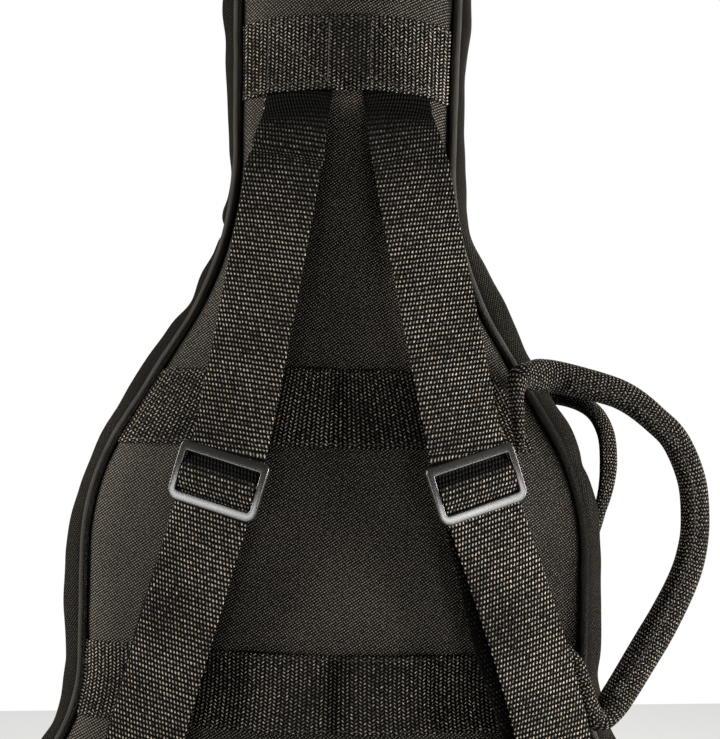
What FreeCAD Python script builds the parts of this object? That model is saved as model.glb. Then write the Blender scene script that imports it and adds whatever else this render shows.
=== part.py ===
"""Padded gig bag for a full-size acoustic guitar, standing upright on its base.

Row frame: +Z up, +X to the right when the back of the bag is looked at, and the back
panel faces -Y. The origin is on the floor, under the middle of the base. Millimetres.
"""

import FreeCAD
import Part
import math
import os

from FreeCAD import Matrix, Placement, Vector

# ---- driving dimensions -------------------------------------------------------------
OUTLINE_Z = 15.0        # height of the panels' lowest edge above the floor
OUTLINE = [             # half width, height above OUTLINE_Z, corner radius
    (128, 0, 110), (212, 88, 150), (214, 205, 122), (165, 275, 120),
    (165, 431, 162), (68, 589, 226), (76, 1068, 55)]
TOTAL = OUTLINE[-1][1]
BACK_Y = 66.0           # the back panel's edge is this far behind the middle
FRONT_Y_BASE, FRONT_Y_HEAD = 72.0, 54.0   # the front panel leans in towards the head
PARTING_Y = 26.0        # the main zip runs round the gusset in this plane
PARTING_GAP = 0.4
BACK_RISE = [(0, 26), (150, 36), (300, 38), (430, 38), (600, 25), (760, 22), (1068, 20)]
FRONT_RISE = [(0, 10), (430, 14), (600, 8), (1068, 8)]
END_TAPER = 130.0       # the crown fades to nothing over this much at both ends
COVER, FOAM, LINING = 1.2, 10.0, 0.8
PANEL = COVER + FOAM + LINING
GUSSET_IN, GUSSET_OUT = -4.0, 8.0         # gusset foam, measured out from the panel outline
PIPING_R = 2.5
ZIP_COIL, ZIP_TAPE = 3.6, 6.0
WEB_W, WEB_T = 50.0, 1.8                  # heavy webbing
HEAD_Z, BASE_Z = 960.0, 75.0              # where the side strips meet the end strips
HINGE_LOW, HINGE_HIGH = 100.0, 235.0      # cloth hinge on the -X side of the lower bout
SMALL = 0.3

os.makedirs("parts", exist_ok=True)


# ---- helpers ------------------------------------------------------------------------
def save(name, *shapes):
    """Writes one node. Several shapes stay separate solids in it."""
    solids = [s for shape in shapes for s in shape.Solids]
    assert solids and all(s.isValid() and s.Volume > 1 for s in solids), name
    shape = solids[0] if len(solids) == 1 else Part.makeCompound(solids)
    shape.exportStep("parts/" + name + ".step")
    box = shape.BoundBox
    print("%-24s %d  x %.0f..%.0f  y %.0f..%.0f  z %.0f..%.0f  %.1f cm3" % (
        name, len(solids), box.XMin, box.XMax, box.YMin, box.YMax,
        box.ZMin, box.ZMax, sum(s.Volume for s in solids) / 1000))


def slab(x0, x1, y0, y1, z0, z1):
    return Part.makeBox(x1 - x0, y1 - y0, z1 - z0, Vector(x0, y0, z0))


def rounded_path(corners, closed=False):
    """Straight runs joined by tangent arcs, through corners given as (point, radius)."""
    points = [Vector(p) for p, _ in corners]
    count = len(points)
    trims = []
    for i, (_, radius) in enumerate(corners):
        if not closed and i in (0, count - 1):
            trims.append((points[i], points[i], None))
            continue
        into = (points[i] - points[i - 1]).normalize()
        out = (points[(i + 1) % count] - points[i]).normalize()
        half = into.getAngle(out) / 2
        reach = radius * math.tan(half)
        middle = (out - into).normalize()
        top = points[i] + middle * (radius / math.cos(half) - radius)
        trims.append((points[i] - into * reach, points[i] + out * reach, top))
    edges = []
    for i in range(count if closed else count - 1):
        start, end = trims[i][1], trims[(i + 1) % count][0]
        if start.distanceToPoint(end) > 1e-6:
            edges.append(Part.LineSegment(start, end).toShape())
        after = trims[(i + 1) % count]
        if after[2] is not None:
            edges.append(Part.Arc(after[0], after[2], after[1]).toShape())
    return Part.Wire(Part.__sortEdges__(edges))


def free_path(points):
    """A path whose every arc is as large as its two runs allow."""
    points = [Vector(p) for p in points]
    corners = [(points[0], 0)]
    for before, here, after in zip(points, points[1:], points[2:]):
        run = min((here - before).Length, (after - here).Length)
        half = (here - before).getAngle(after - here) / 2
        corners.append((here, 0.45 * run / math.tan(half)))
    corners.append((points[-1], 0))
    return rounded_path(corners)


def swept(path, profile):
    """A profile wire swept along a path."""
    pipe = Part.BRepOffsetAPI.MakePipeShell(path)
    pipe.add(profile, False, True)
    pipe.setTransitionMode(1)
    pipe.build()
    assert pipe.makeSolid()
    return Part.Solid(pipe.shape())


def tube(path, radius):
    start = path.OrderedEdges[0]
    at = start.valueAt(start.FirstParameter)
    along = start.tangentAt(start.FirstParameter)
    circle = Part.Wire(Part.makeCircle(radius, at, along))
    return swept(path, circle)


def mirrored(corners):
    return corners + [(-x, z, r) for x, z, r in reversed(corners)]


def profile_wire(half, grow=0.0, lift=OUTLINE_Z):
    """The closed outline through half's corners and their mirror images, at y = 0."""
    wire = rounded_path([((x, 0, z + lift), r) for x, z, r in mirrored(half)], closed=True)
    if not grow:
        return wire
    wider = wire.makeOffset2D(grow, 0, False, False)
    return wider if (wider.BoundBox.XLength > wire.BoundBox.XLength) == (grow > 0) \
        else wire.makeOffset2D(-grow, 0, False, False)


def prism(wire, y0, y1):
    face = Part.Face(wire)
    face.translate(Vector(0, y0, 0))
    return face.extrude(Vector(0, y1 - y0, 0))


def ring(outer, inner, y0, y1):
    return prism(profile_wire(OUTLINE, outer), y0, y1).cut(
        prism(profile_wire(OUTLINE, inner), y0 - 1, y1 + 1))


def ease(table, at):
    """Smooth value between the (place, value) pairs of a table."""
    if at <= table[0][0]:
        return table[0][1]
    for (a, low), (b, high) in zip(table, table[1:]):
        if at <= b:
            t = (at - a) / (b - a)
            return low + (high - low) * t * t * (3 - 2 * t)
    return table[-1][1]


OUTLINE_FACE = Part.Face(profile_wire(OUTLINE))


def half_width(z):
    """The outline's half width at a height above the floor, clear of its round ends."""
    z = min(max(z, OUTLINE_Z + 60), OUTLINE_Z + TOTAL - 60)
    line = Part.makeLine(Vector(0, 0, z), Vector(400, 0, z))
    return OUTLINE_FACE.common(line).BoundBox.XMax


STATIONS = [-25 + 33 * i for i in range(36)]
WIDTHS = {z: half_width(z) for z in STATIONS}


def rise(table, x, z, width):
    """Height of the crown over a panel's edge: full in the middle, none at the outline."""
    ends = min(max(min(z - OUTLINE_Z, OUTLINE_Z + TOTAL - z) / END_TAPER, 0), 1)
    share = abs(x) / width
    across = 1 - share * share if share < 1 else -2 * (share - 1)
    return ease(table, z - OUTLINE_Z) * across * ends * (2 - ends)


def back_y(x, z, width=None):
    return -BACK_Y - rise(BACK_RISE, x, z, width or half_width(z))


def front_edge_y(z):
    return FRONT_Y_BASE + (FRONT_Y_HEAD - FRONT_Y_BASE) * (z - OUTLINE_Z) / TOTAL


def front_y(x, z, width=None):
    return front_edge_y(z) + rise(FRONT_RISE, x, z, width or half_width(z))


def skin(height):
    """A smooth face through height(x, z, width)."""
    columns = [-240 + 20 * i for i in range(25)]
    surface = Part.BSplineSurface()
    surface.interpolate([[Vector(x, height(x, z, WIDTHS[z]), z) for z in STATIONS]
                         for x in columns])
    return surface.toShape()


BACK_SKIN, FRONT_SKIN = skin(back_y), skin(front_y)


def layer(face, offset, thickness):
    """The space between a skin moved by offset in Y and that skin moved by thickness more."""
    moved = face.copy()
    moved.translate(Vector(0, offset, 0))
    return moved.extrude(Vector(0, thickness, 0))


def frame_at(origin, along, outward):
    """A placement whose local X runs across, Y along and Z outward."""
    v = Vector(along).normalize()
    n = Vector(outward)
    n = (n - v * n.dot(v)).normalize()
    u = v.cross(n)
    matrix = Matrix(u.x, v.x, n.x, origin[0], u.y, v.y, n.y, origin[1],
                    u.z, v.z, n.z, origin[2], 0, 0, 0, 1)
    return Placement(matrix)


def placed(shape, placement):
    copy = shape.copy()
    copy.Placement = placement.multiply(copy.Placement)
    return copy


def local_box(x0, x1, y0, y1, z0, z1, edge=0.0):
    """A box in a local frame, its edges along local Z rounded."""
    box = slab(x0, x1, y0, y1, z0, z1)
    if edge:
        upright = [e for e in box.Edges if abs(abs(e.tangentAt(0).z) - 1) < 1e-6]
        box = box.makeFillet(edge, upright)
    return box


def piece_of(shape, *regions):
    for region in regions:
        shape = shape.common(region)
    return shape


PANEL_PRISM = prism(profile_wire(OUTLINE), -140, 140)
EVERYWHERE = 400


# ---- the two padded panels ----------------------------------------------------------
def panels():
    back_layers = (("back_cover", 0, COVER), ("back_foam", COVER, FOAM),
                   ("back_lining", COVER + FOAM, LINING))
    for name, depth, thickness in back_layers:
        save(name, piece_of(layer(BACK_SKIN, depth, thickness), PANEL_PRISM))
    front_layers = (("front_cover", 0, COVER), ("front_foam", COVER, FOAM),
                    ("front_lining", COVER + FOAM, LINING))
    for name, depth, thickness in front_layers:
        save(name, piece_of(layer(FRONT_SKIN, -depth, -thickness), PANEL_PRISM))


# ---- gusset: cover, foam strips, zip tapes and coils --------------------------------
def gusset_ends(y0, y1):
    head = slab(-EVERYWHERE, EVERYWHERE, y0, y1, HEAD_Z, 1200)
    base = slab(-EVERYWHERE, EVERYWHERE, y0, y1, -50, BASE_Z)
    left = slab(-EVERYWHERE, 0, y0, y1, BASE_Z, HEAD_Z)
    right = slab(0, EVERYWHERE, y0, y1, BASE_Z, HEAD_Z)
    return {"left": left, "right": right, "head": head, "base": base}


def gussets():
    behind = layer(BACK_SKIN, PANEL + SMALL, 200)
    before = layer(FRONT_SKIN, -PANEL - SMALL, -200)
    rear_end, lid_start = PARTING_Y - PARTING_GAP / 2, PARTING_Y + PARTING_GAP / 2
    rear_foam = ring(GUSSET_OUT, GUSSET_IN, -120, rear_end).common(behind)
    lid_foam = ring(GUSSET_OUT, GUSSET_IN, lid_start, 120).common(before)
    for end, region in gusset_ends(-130, 130).items():
        save("rear_gusset_" + end, rear_foam.common(region))
        save("lid_gusset_" + end, lid_foam.common(region))

    out = GUSSET_OUT + COVER
    coil_rear, tape_rear = rear_end - ZIP_COIL, rear_end - ZIP_COIL - ZIP_TAPE
    coil_lid, tape_lid = lid_start + ZIP_COIL, lid_start + ZIP_COIL + ZIP_TAPE
    save("rear_gusset_cover", ring(out, GUSSET_OUT, -120, tape_rear).common(behind))
    save("lid_gusset_cover", ring(out, GUSSET_OUT, tape_lid, 120).common(before))
    hinge = slab(-EVERYWHERE, 0, -50, 100, HINGE_LOW, HINGE_HIGH)
    save("rear_zip_tape", ring(out, GUSSET_OUT, tape_rear, coil_rear).cut(hinge))
    save("lid_zip_tape", ring(out, GUSSET_OUT, coil_lid, tape_lid).cut(hinge))
    save("rear_zip_coil", ring(out + 1.2, GUSSET_OUT, coil_rear, rear_end).cut(hinge))
    save("lid_zip_coil", ring(out + 1.2, GUSSET_OUT, lid_start, coil_lid).cut(hinge))
    save("hinge_strip", ring(out, GUSSET_OUT, tape_rear, rear_end).common(hinge))


def pipings():
    wire = profile_wire(OUTLINE, PIPING_R + 0.3)
    back, front = wire.copy(), wire.copy()
    back.translate(Vector(0, -BACK_Y + PIPING_R, 0))
    save("back_piping", tube(back, PIPING_R))
    front.rotate(Vector(0, 0, OUTLINE_Z), Vector(1, 0, 0), LEAN_DEG)
    front.translate(Vector(0, FRONT_Y_BASE - PIPING_R, 0))
    save("front_piping", tube(front, PIPING_R))


LEAN_DEG = math.degrees(math.atan((FRONT_Y_BASE - FRONT_Y_HEAD) / TOTAL))


# ---- webbing bands sewn across the back ---------------------------------------------
BANDS = {"top_band": 727.0, "mid_band": 497.0, "lower_band": 316.0}   # centre heights


def bands():
    field = prism(profile_wire(OUTLINE, -2.0), -140, 0)
    for name, z in BANDS.items():
        save(name, piece_of(layer(BACK_SKIN, -SMALL / 3, -WEB_T), field,
                            slab(-300, 300, -140, 0, z - WEB_W / 2, z + WEB_W / 2)))


# ---- base guards --------------------------------------------------------------------
def base_guards():
    """Moulded rubber patches that the bag stands on, one each side of the zip."""
    inner = profile_wire(OUTLINE, GUSSET_OUT + COVER + SMALL)
    outer = profile_wire(OUTLINE, GUSSET_OUT + COVER + SMALL + 2.5)
    for name, y0, y1 in (("rear_base_guard", -BACK_Y + 10, PARTING_Y - 12),
                         ("lid_base_guard", PARTING_Y + 12, FRONT_Y_BASE - 16)):
        cup = prism(outer, y0, y1).cut(prism(inner, y0 - 1, y1 + 1))
        cup = cup.common(slab(-150, 150, -100, 100, -10, 36))
        sole = slab(-105, 105, y0 + 3, y1 - 3, 0, 8).cut(prism(inner, y0 - 1, y1 + 1))
        save(name, cup.fuse(sole).removeSplitter())


# ---- backpack straps ----------------------------------------------------------------
# Stations run from the top band down: height, across, depth, turn of the face about Z.
STRAPS = {
    "left": {
        "line": [(674, -35.0, -94.4, 12), (640, -39.5, -97, 12), (560, -52, -103.6, 12),
                 (478, -65.5, -109.2, 12)],
        "buckle": (-72.2, -108.6, 449.0), "knee": (-113.0, -101.9, 298.0),
        "ring": (-154.6, -96.0, 140.0), "turn": 12},
    "right": {
        "line": [(674, 40.0, -94.2, -12), (640, 46.5, -97.4, -12), (560, 63, -105.2, -14),
                 (478, 80.5, -111.2, -15)],
        "buckle": (88.0, -110.4, 451.0), "knee": (140.5, -103.6, 298.0),
        "ring": (169.0, -95.8, 146.0), "turn": -15},
}
ROOT_LOW = 677.0                                  # the sewn roots end here
RING_R, RING_WIDE, RING_TALL = 2.1, 60.0, 22.0    # bent wire loop, bar centre to bar centre
LOOP_IN = RING_R + 0.5
BUCKLE_W, BUCKLE_H = 60.0, 38.0


def ribbon(stations, width=WEB_W, thickness=WEB_T):
    """Webbing through stations of (point, direction across, direction outward)."""
    sections = []
    for point, across, outward in stations:
        a, n = across * (width / 2), outward * (thickness / 2)
        corners = [point + a + n, point - a + n, point - a - n, point + a - n]
        sections.append(Part.makePolygon(corners + corners[:1]))
    return Part.makeLoft(sections, True, True)


def facing(turn):
    turn = math.radians(turn)
    return Vector(-math.sin(turn), -math.cos(turn), 0)


def strap_frame(strap):
    """Local frame at the buckle: X across, Y up the strap, Z outward."""
    up = Vector(strap["buckle"]) - Vector(strap["knee"])
    return frame_at(strap["buckle"], up, facing(strap["turn"]))


def end_frame(strap):
    """Local frame at the ring's upper bar's front: Y up the strap, Z outward."""
    up = Vector(strap["knee"]) - Vector(strap["ring"])
    return frame_at(strap["ring"], up, facing(strap["turn"] * 0.8))


def stations_through(points):
    """(point, across, outward) with each section square to the path."""
    result = []
    for i, (point, turn) in enumerate(points):
        before, after = points[max(i - 1, 0)][0], points[min(i + 1, len(points) - 1)][0]
        along = (before - after).normalize()
        normal = facing(turn)
        normal = (normal - along * normal.dot(along)).normalize()
        result.append((point, along.cross(normal), normal))
    return result


def strap_points(strap):
    points = [(Vector(x, y, z), turn) for z, x, y, turn in strap["line"]]
    points.append((Vector(strap["buckle"]), strap["turn"]))
    points.append((Vector(strap["knee"]), strap["turn"]))
    points.append((Vector(strap["ring"]), strap["turn"] * 0.8))
    return points


def strap_shape(strap):
    front = ribbon(stations_through(strap_points(strap)))
    # the webbing turns back round the ring and runs up behind itself
    drop = LOOP_IN + WEB_T / 2
    loop = Part.makeCylinder(LOOP_IN + WEB_T, WEB_W, Vector(-WEB_W / 2, 0, -drop), Vector(1, 0, 0))
    loop = loop.cut(Part.makeCylinder(LOOP_IN, WEB_W + 2, Vector(-WEB_W / 2 - 1, 0, -drop),
                                      Vector(1, 0, 0)))
    loop = placed(loop.cut(local_box(-40, 40, 0, 20, -20, 20)), end_frame(strap))
    points = strap_points(strap)
    last = len(points) - 1
    behind = []
    for i, (point, across, outward) in enumerate(stations_through(points)):
        if point.z > strap["buckle"][2]:
            continue
        depth = 2 * drop if i == last else (2.6 if point.z > 400 else 4.2)
        if i < last and point.z > 400:
            point = point + (points[i + 1][0] - point).normalize() * 26
        behind.append((point - outward * depth, across, outward))
    return front.fuse([loop, ribbon(behind)]).removeSplitter()


def ring_shape(strap):
    half = RING_WIDE / 2
    corner = [((-half, 0, 0), 5), ((half, 0, 0), 5), ((half, -RING_TALL, 0), 5),
              ((-half, -RING_TALL, 0), 5)]
    loop = tube(rounded_path(corner, closed=True), RING_R)
    loop.translate(Vector(0, 0, -LOOP_IN - WEB_T / 2))
    return placed(loop, end_frame(strap))


def tab_shape(strap):
    """Folded webbing tongue between the ring's lower bar and the seam."""
    n = -LOOP_IN - WEB_T / 2
    outer = LOOP_IN + WEB_T
    body = Part.makeCylinder(outer, 46, Vector(-23, -RING_TALL, n), Vector(1, 0, 0))
    section = Part.makePolygon([Vector(-23, -RING_TALL, n + outer), Vector(-23, -RING_TALL, n - outer),
                                Vector(-23, -RING_TALL - 26, n - 12.4),
                                Vector(-23, -RING_TALL - 26, n - 8.8),
                                Vector(-23, -RING_TALL, n + outer)])
    body = body.fuse(Part.Face(section).extrude(Vector(46, 0, 0)))
    body = body.cut(Part.makeCylinder(LOOP_IN, 60, Vector(-30, -RING_TALL, n), Vector(1, 0, 0)))
    body = placed(body.removeSplitter(), end_frame(strap))
    return body.cut(layer(BACK_SKIN, -WEB_T - 0.8, 60))


def buckle_shape(strap):
    n0 = WEB_T / 2 + 0.3
    frame = local_box(-BUCKLE_W / 2, BUCKLE_W / 2, -BUCKLE_H / 2, BUCKLE_H / 2, n0, n0 + 4.2, 3.5)
    for low, high in ((-13.4, -3.0), (3.0, 12.4)):
        frame = frame.cut(local_box(-26.5, 26.5, low, high, n0 - 1, n0 + 6, 1.5))
    frame = frame.cut(local_box(-26.5, 26.5, -3.1, 3.1, n0 + 3.0, n0 + 6))
    outer_edges = [e for e in frame.Edges if e.BoundBox.ZMin > n0 + 4.1
                   and max(abs(e.BoundBox.XMin), abs(e.BoundBox.XMax)) > 28]
    try:
        frame = frame.makeChamfer(0.9, outer_edges)
    except Part.OCCError:
        pass
    return placed(frame, strap_frame(strap))


def wrap_shape(strap):
    """The strap where it comes forward over the buckle's middle bar."""
    n0 = WEB_T / 2 + 0.15
    side = [(11.8, n0), (5.6, n0 + 4.4), (3.6, n0 + 5.1), (-3.6, n0 + 5.1), (-5.6, n0 + 4.4),
            (-13.2, n0), (-10.8, n0), (-4.4, n0 + 3.5), (4.4, n0 + 3.5), (9.4, n0)]
    points = [Vector(-25, v, n) for v, n in side]
    arch = Part.Face(Part.makePolygon(points + points[:1])).extrude(Vector(50, 0, 0))
    return placed(arch, strap_frame(strap))


def sewn_strip(at, toward, z0, z1, width=WEB_W):
    """Webbing lying on the back panel along a line, between two heights."""
    along = Vector(toward[0] - at[0], 0, toward[1] - at[1]).normalize()
    strip = local_box(-width / 2, width / 2, -80, 120, -200, 200)
    strip = placed(strip, frame_at((at[0], 0, at[1]), along, Vector(0, -1, 0)))
    field = prism(profile_wire(OUTLINE, -0.6), -140, 0)
    return piece_of(layer(BACK_SKIN, -SMALL / 3, -WEB_T), field, strip,
                    slab(-300, 300, -140, 0, z0, z1))


def straps():
    band_low = BANDS["top_band"] - WEB_W / 2
    roots, patches = [], []
    for side, strap in STRAPS.items():
        top = strap["line"][0]
        roots.append(sewn_strip((top[1], top[0]), (strap["line"][1][1], strap["line"][1][0]),
                                ROOT_LOW, band_low - 0.3))
        ring_at, knee = strap["ring"], strap["knee"]
        toward = (knee[0], knee[2])
        patches.append(sewn_strip((ring_at[0], ring_at[2]), toward, 0,
                                  ring_at[2] - RING_TALL - 24, 46))
        save(side + "_strap", strap_shape(strap).cut(layer(BACK_SKIN, -WEB_T - 0.6, 60)))
        save(side + "_ring", ring_shape(strap))
        save(side + "_anchor_tab", tab_shape(strap))
        save(side + "_buckle", buckle_shape(strap))
        save(side + "_buckle_wrap", wrap_shape(strap))
    save("strap_roots", *roots)
    save("anchor_patches", *patches)


# ---- carry handles and the hang loop ------------------------------------------------
HANDLE = [(110, 522), (158, 527), (208, 503), (235, 445), (225, 380), (200, 337), (176, 312)]
BACK_HANDLE_Y, HANDLE_R = -80.0, 9.0
# The front handle starts on its tabs, turns over the piping and lies back along the gusset.
FRONT_HANDLE = [(112, 75.6, 512), (142, 79, 518), (170, 68, 518), (194, 42, 506), (202, 20, 480),
                (201, 14, 450), (197, 20, 424), (192, 36, 398), (189, 58, 368), (184, 77, 346),
                (172, 80, 336), (153, 79, 331)]
FRONT_HANDLE_R = 8.0
TAB_LENGTH = 22.0
LOOP_Z = OUTLINE_Z + TOTAL + GUSSET_OUT + COVER + 2.2


def handles():
    grip = tube(free_path([(x, BACK_HANDLE_Y, z) for x, z in HANDLE]), HANDLE_R)
    save("back_handle", grip.cut(layer(BACK_SKIN, -WEB_T - 1.6, 60)))
    save("front_handle", tube(free_path(FRONT_HANDLE), FRONT_HANDLE_R))
    tabs = []
    field = prism(profile_wire(OUTLINE, -2.0), 0, 140)
    for z in (500.0, 330.0):
        strip = slab(0, 300, 0, 140, z - WEB_W / 2, z + WEB_W / 2)
        inner = prism(profile_wire(OUTLINE, -TAB_LENGTH), 0, 140)
        tabs.append(piece_of(layer(FRONT_SKIN, SMALL / 3, WEB_T), field, strip).cut(inner).common(
            slab(0, 300, 0, 140, 0, 1000)))
    save("front_handle_tabs", *tabs)


def hang_loop():
    y, thick, wide = -57.0, 2.4, 20.0
    outer = [((-34, 0, 0), 0), ((-26, 0, 58), 20), ((26, 0, 58), 20), ((34, 0, 0), 0)]
    inner = [((-34 + wide, 0, -1), 0), ((-26 + wide, 0, 58 - wide), 5),
             ((26 - wide, 0, 58 - wide), 5), ((34 - wide, 0, -1), 0)]
    faces = []
    for corners in (outer, inner):
        path = rounded_path(corners)
        ends = [v.Point for v in (path.OrderedVertexes[0], path.OrderedVertexes[-1])]
        closing = Part.LineSegment(ends[1], ends[0]).toShape()
        faces.append(Part.Face(Part.Wire(Part.__sortEdges__(path.Edges + [closing]))))
    arch = faces[0].cut(faces[1]).extrude(Vector(0, thick, 0))
    arch.translate(Vector(0, y - thick / 2, LOOP_Z))
    save("hang_loop", arch)


# ---- zip sliders and pull tabs ------------------------------------------------------
def slider(turn=0):
    """Local frame: X across the zip, Y along it, Z away from the bag; Z = 0 on the teeth."""
    plate = local_box(-5.5, 5.5, -9, 9, 0.3, 2.4, 3.0)
    lug = local_box(-1.5, 1.5, -4.5, 4.5, 2.0, 6.8)
    lug = lug.cut(local_box(-3, 3, -2.3, 2.3, 2.7, 5.5))
    lug.rotate(Vector(0, 0, 0), Vector(0, 0, 1), turn)
    return plate.fuse(lug).removeSplitter()


def pull_tab(turn=0):
    """Hangs from the lug's hole, along -Y; the bar it turns on is at Z = 4.1."""
    tab = local_box(-4.5, 4.5, -36, 1.0, 3.3, 4.9, 0.9)
    tab = tab.cut(local_box(-2.4, 2.4, -8.6, -1.0, 2, 6, 0.8))
    grip = local_box(-4.5, 4.5, -36, -14, 2.9, 5.3, 2.0)
    tab = tab.fuse(grip).removeSplitter()
    tab.rotate(Vector(0, 0, 0), Vector(0, 0, 1), turn)
    return tab


NECK_LINE = (OUTLINE[-2][:2], OUTLINE[-1][:2])
MAIN_SLIDERS = {"a": 795.0, "b": 852.0}
COIL_OUT = GUSSET_OUT + COVER + 1.2


def neck_side(z):
    """A point on the neck's right side at a height, the line's direction and normal."""
    (x0, z0), (x1, z1) = NECK_LINE
    slope = (x1 - x0) / (z1 - z0)
    along = Vector(slope, 0, 1).normalize()
    normal = Vector(along.z, 0, -along.x)
    return Vector(x0 + (z - OUTLINE_Z - z0) * slope, PARTING_Y, z), along, normal


def main_sliders():
    for name, z in MAIN_SLIDERS.items():
        point, along, normal = neck_side(z)
        place = frame_at(point + normal * COIL_OUT, along, normal)
        save("main_slider_" + name, placed(slider(), place))
        save("main_pull_" + name, placed(pull_tab(), place))


# ---- front pockets ------------------------------------------------------------------
POCKET_FLAT = 106.0      # the accessory pocket's outer face, before it leans with the panel
POCKET_TOP, POCKET_LOW = 470.0, 62.0
POCKET_ZIP_Z, POCKET_ZIP_X = 436.0, 118.0
NECK_POCKET = {"half": 46.0, "low": 590.0, "high": 880.0, "flat": 93.0}


def leaning(y_base, thickness):
    """A flat slab parallel to the front panel's edge plane."""
    box = slab(-300, 300, 0, thickness, -100, 1300)
    box.rotate(Vector(0, 0, OUTLINE_Z), Vector(1, 0, 0), LEAN_DEG)
    box.translate(Vector(0, y_base, 0))
    return box


def pockets():
    wall = 2.5
    flat = POCKET_FLAT
    corners = [(-146, POCKET_LOW, 70), (146, POCKET_LOW, 70), (140, POCKET_TOP, 26),
               (-140, POCKET_TOP, 26)]
    around = rounded_path([((x, 0, z), r) for x, z, r in corners], closed=True)
    within = rounded_path([((x - math.copysign(wall, x), 0, z + (wall if z < 200 else -wall)),
                            r - wall) for x, z, r in corners], closed=True)
    outer, inner = prism(around, 30, 140), prism(within, 29, 141)
    room = layer(FRONT_SKIN, SMALL, 100)
    shell = piece_of(outer, room).cut(leaning(flat, 100))
    void = piece_of(inner, room).cut(leaning(flat - wall, 100))
    mouth = slab(-POCKET_ZIP_X - 6, POCKET_ZIP_X + 6, 60, 140, POCKET_ZIP_Z - 9, POCKET_ZIP_Z + 9)
    skin_only = leaning(flat - wall - 0.1, 60)
    save("accessory_pocket", shell.cut(void).cut(mouth.common(skin_only)))
    tape = mouth.common(slab(-POCKET_ZIP_X - 5.7, POCKET_ZIP_X + 5.7, 60, 140,
                             POCKET_ZIP_Z - 8.7, POCKET_ZIP_Z + 8.7))
    strip = tape.common(leaning(flat - 2.2, 1.4))
    coil = slab(-POCKET_ZIP_X - 3, POCKET_ZIP_X + 3, 60, 140, POCKET_ZIP_Z - 3, POCKET_ZIP_Z + 3)
    save("accessory_pocket_zip", strip.fuse(coil.common(leaning(flat - 1.2, 1.6))))
    place = frame_at((-POCKET_ZIP_X + 12, pocket_face_y(POCKET_ZIP_Z, flat) + 0.5, POCKET_ZIP_Z),
                     Vector(-1, 0, 0), Vector(0, 1, 0))
    save("pocket_slider", placed(slider(90), place))
    save("pocket_pull", placed(pull_tab(90), place))

    p = NECK_POCKET
    corners = [(-p["half"], p["low"]), (p["half"], p["low"]), (p["half"] + 4, p["high"]),
               (-p["half"] - 4, p["high"])]
    wire = rounded_path([((x, 0, z), 14) for x, z in corners], closed=True)
    small = rounded_path([((x * 0.93, 0, z + (3 if z < 700 else -3)), 12) for x, z in corners],
                         closed=True)
    neck_flat = p["flat"]
    shell = piece_of(prism(wire, 30, 140), room).cut(leaning(neck_flat, 100))
    void = piece_of(prism(small, 29, 141), room).cut(leaning(neck_flat - wall, 100))
    mouth = slab(-9, 9, 50, 140, p["low"] + 22, p["high"] - 22)
    save("neck_pocket", shell.cut(void).cut(mouth.common(leaning(neck_flat - wall - 0.1, 60))))
    tape = slab(-8.7, 8.7, 50, 140, p["low"] + 22.3, p["high"] - 22.3)
    coil = slab(-3, 3, 50, 140, p["low"] + 24, p["high"] - 24)
    save("neck_pocket_zip", tape.common(leaning(neck_flat - 2.2, 1.4)).fuse(
        coil.common(leaning(neck_flat - 1.2, 1.6))))
    z = p["high"] - 36
    place = frame_at((0, pocket_face_y(z, neck_flat) + 0.5, z), Vector(0, 0, 1), Vector(0, 1, 0))
    save("neck_pocket_slider", placed(slider(), place))
    save("neck_pocket_pull", placed(pull_tab(), place))


def pocket_face_y(z, flat):
    return flat - (z - OUTLINE_Z) * math.tan(math.radians(LEAN_DEG))


# ---- inside the bag -----------------------------------------------------------------
def rounded_along_y(block, radius):
    return block.makeFillet(radius, [e for e in block.Edges if abs(e.tangentAt(0).y) > 0.9])


def inside():
    room = layer(BACK_SKIN, PANEL + SMALL, 200)
    cradle = slab(-62, 62, -100, -14, 720, 775).common(room)
    notch = Part.makeCylinder(31, 80, Vector(0, -6, 710), Vector(0, 0, 1))
    cradle = cradle.cut(notch).cut(slab(-31, 31, -6, 20, 700, 790))
    save("neck_cradle", cradle)
    tie = slab(-62, 62, -13.4, -11.2, 735, 760)
    ends = slab(-62, -36, -13.7, -11.2, 735, 760)
    save("neck_tie", tie.cut(slab(-36, 36, -14, -13, 700, 800)).fuse(ends).removeSplitter())
    base_top = OUTLINE_Z + 4 + SMALL
    field = prism(profile_wire(OUTLINE, GUSSET_IN - SMALL), -60, 60)
    pad = slab(-90, 90, -48, 20, base_top, base_top + 9)
    save("end_pad", rounded_along_y(pad, 3).common(field))
    head_top = OUTLINE_Z + TOTAL - 4 - SMALL
    pad = slab(-48, 48, -46, 18, head_top - 12, head_top)
    save("head_pad", rounded_along_y(pad, 3).common(field))


if __name__ == "__main__":
    panels()
    gussets()
    pipings()
    bands()
    base_guards()
    straps()
    handles()
    hang_loop()
    main_sliders()
    pockets()
    inside()
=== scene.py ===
"""Looks of the padded gig bag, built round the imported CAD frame.

Lengths in the geometry code are millimetres in the row frame: X right and Z up when the back is
looked at, which faces -Y. Mesh.build turns them into metres.
"""

import math

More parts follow.
